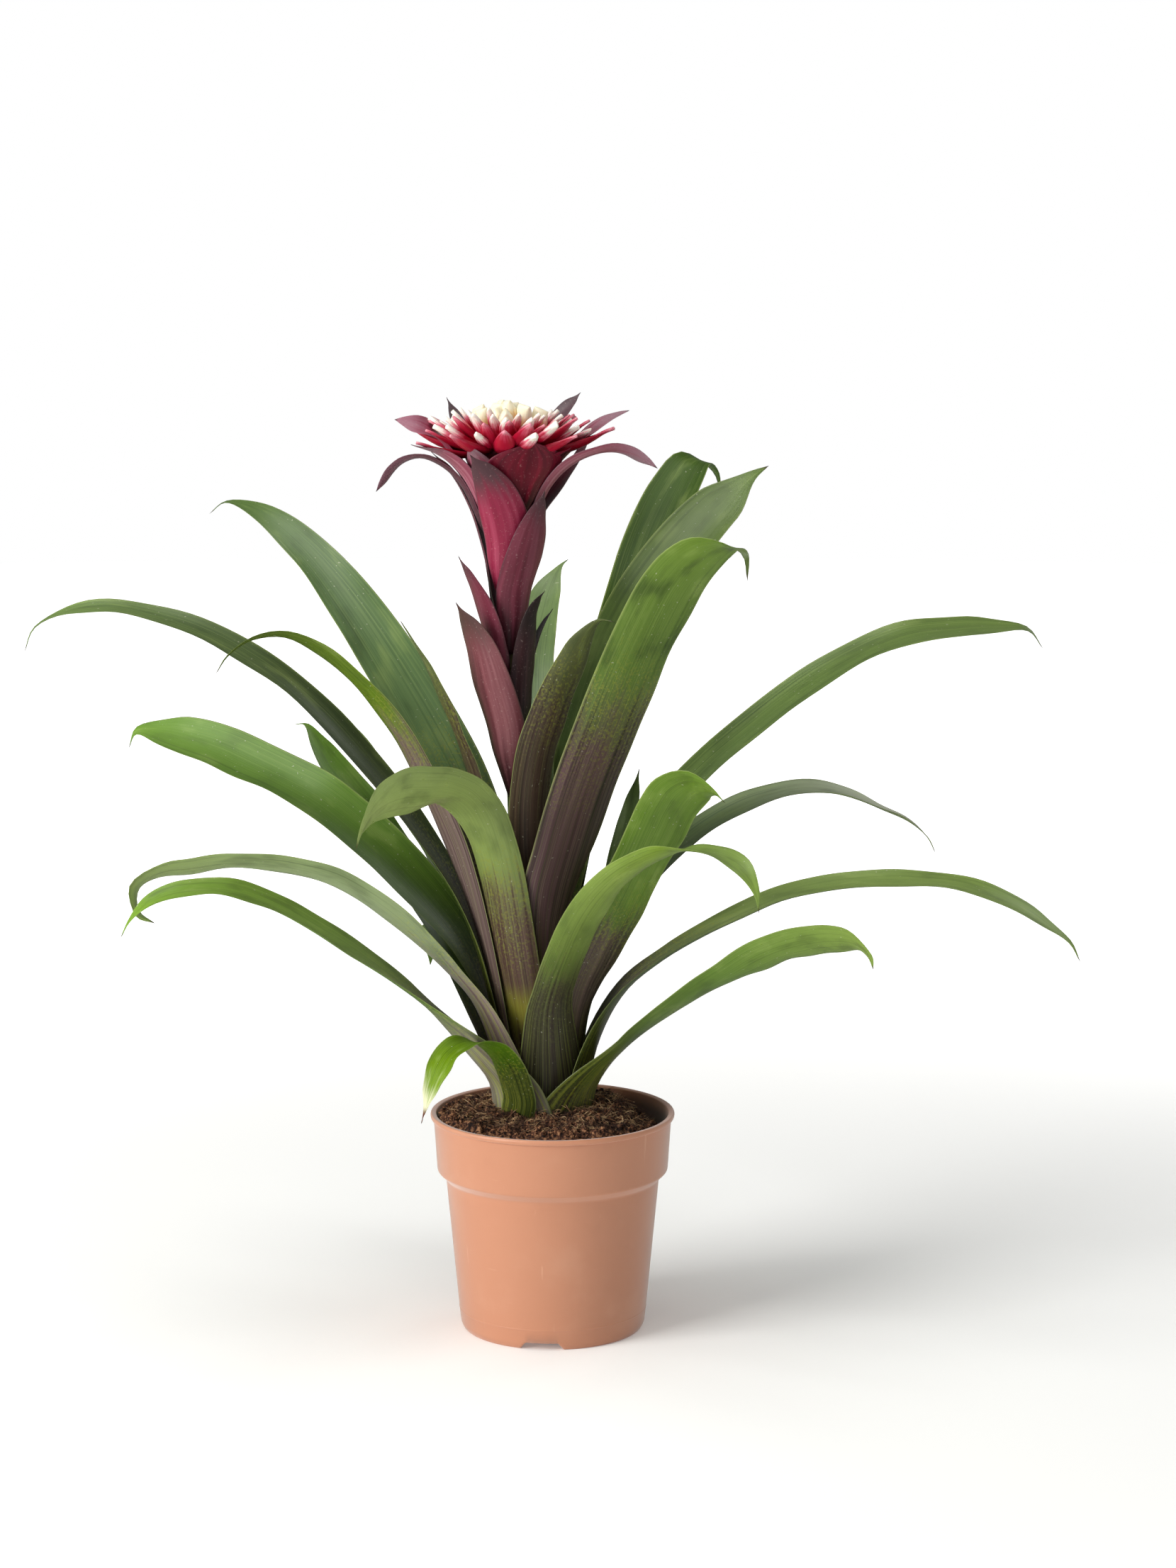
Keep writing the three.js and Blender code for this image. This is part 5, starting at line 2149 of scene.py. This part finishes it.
@dataclass
class Studio:
    """The floor, the lights and the camera.

    Places and radii are in metres, the pitch is how many degrees the camera looks down, and the
    lens and the height of the frame are in millimetres.
    """

    camera_place: tuple[float, float, float] = (0.0174, -1.753, 0.5463)
    camera_pitch: float = 8.95
    lens: float = 84.17
    frame_height: float = 36.0
    floor_radius: float = 4.0
    dome_radius: float = 30.0
    air: float = 0.22
    lights: tuple[Softbox, ...] = (
        Softbox("key_left", (-1.9, -1.3, 1.1), 1.3, 56.0, (1.0, 0.99, 0.975)),
        Softbox("rim_right", (1.6, 1.5, 1.5), 0.9, 5.0, (0.98, 0.99, 1.0)),
        Softbox("top", (-0.2, -0.3, 2.2), 1.3, 22.0, (1.0, 1.0, 0.98)))

    def build(self) -> None:
        """Set up the whole studio."""
        self._camera()
        self._floor()
        self._backdrop()
        for light in self.lights:
            light.build()
        world = bpy.data.worlds.new("studio_air")
        world.use_nodes = True
        world.node_tree.nodes["Background"].inputs["Color"].default_value = WHITE
        world.node_tree.nodes["Background"].inputs["Strength"].default_value = self.air
        bpy.context.scene.world = world
        bpy.context.scene.view_settings.view_transform = "Standard"

    def _camera(self) -> None:
        """Place the camera where the photograph was taken from."""
        data = bpy.data.cameras.new("camera")
        data.lens = self.lens
        data.sensor_fit = "VERTICAL"
        data.sensor_height = self.frame_height
        camera = place_object("camera", data)
        camera.location = self.camera_place
        camera.rotation_euler = (math.radians(90 - self.camera_pitch), 0, 0)
        bpy.context.scene.camera = camera

    def _floor(self) -> None:
        """Make the pale floor, which brightens into the backdrop."""
        mesh = bmesh.new()
        bmesh.ops.create_circle(mesh, cap_ends=True, segments=96, radius=self.floor_radius)
        floor = finish_mesh("floor", mesh, smooth=False)
        w = Wiring("floor_pale")
        near, far, least = 0.3, 1.5, 0.16
        glow = w.plus(w.rise(w.length(w.place()), near, far), least)
        w.set(Base_Color=paint(242, 242, 240), Roughness=0.8, Specular_IOR_Level=0.1)
        w.set(Emission_Color=WHITE, Emission_Strength=glow)
        floor.data.materials.append(w.material)
        floor.visible_glossy = False

    def _backdrop(self) -> None:
        """Make the white dome that only the camera sees."""
        mesh = bmesh.new()
        bmesh.ops.create_uvsphere(mesh, u_segments=48, v_segments=24, radius=self.dome_radius)
        dome = finish_mesh("backdrop", mesh)
        w = Wiring("backdrop_white")
        w.set(Base_Color=BLACK, Specular_IOR_Level=0.0, Roughness=1.0)
        w.set(Emission_Color=WHITE, Emission_Strength=1.0)
        dome.data.materials.append(w.material)
        dome.visible_diffuse = False
        dome.visible_glossy = False
        dome.visible_transmission = False
        dome.visible_shadow = False


def main() -> None:
    """Build the plant, its pot and the studio."""
    Studio().build()
    NurseryPot().build()
    PeatSoil().build()
    Rosette().build()
    FlowerStalk().build()
    FlowerHead().build()


if __name__ == "__main__":
    main()
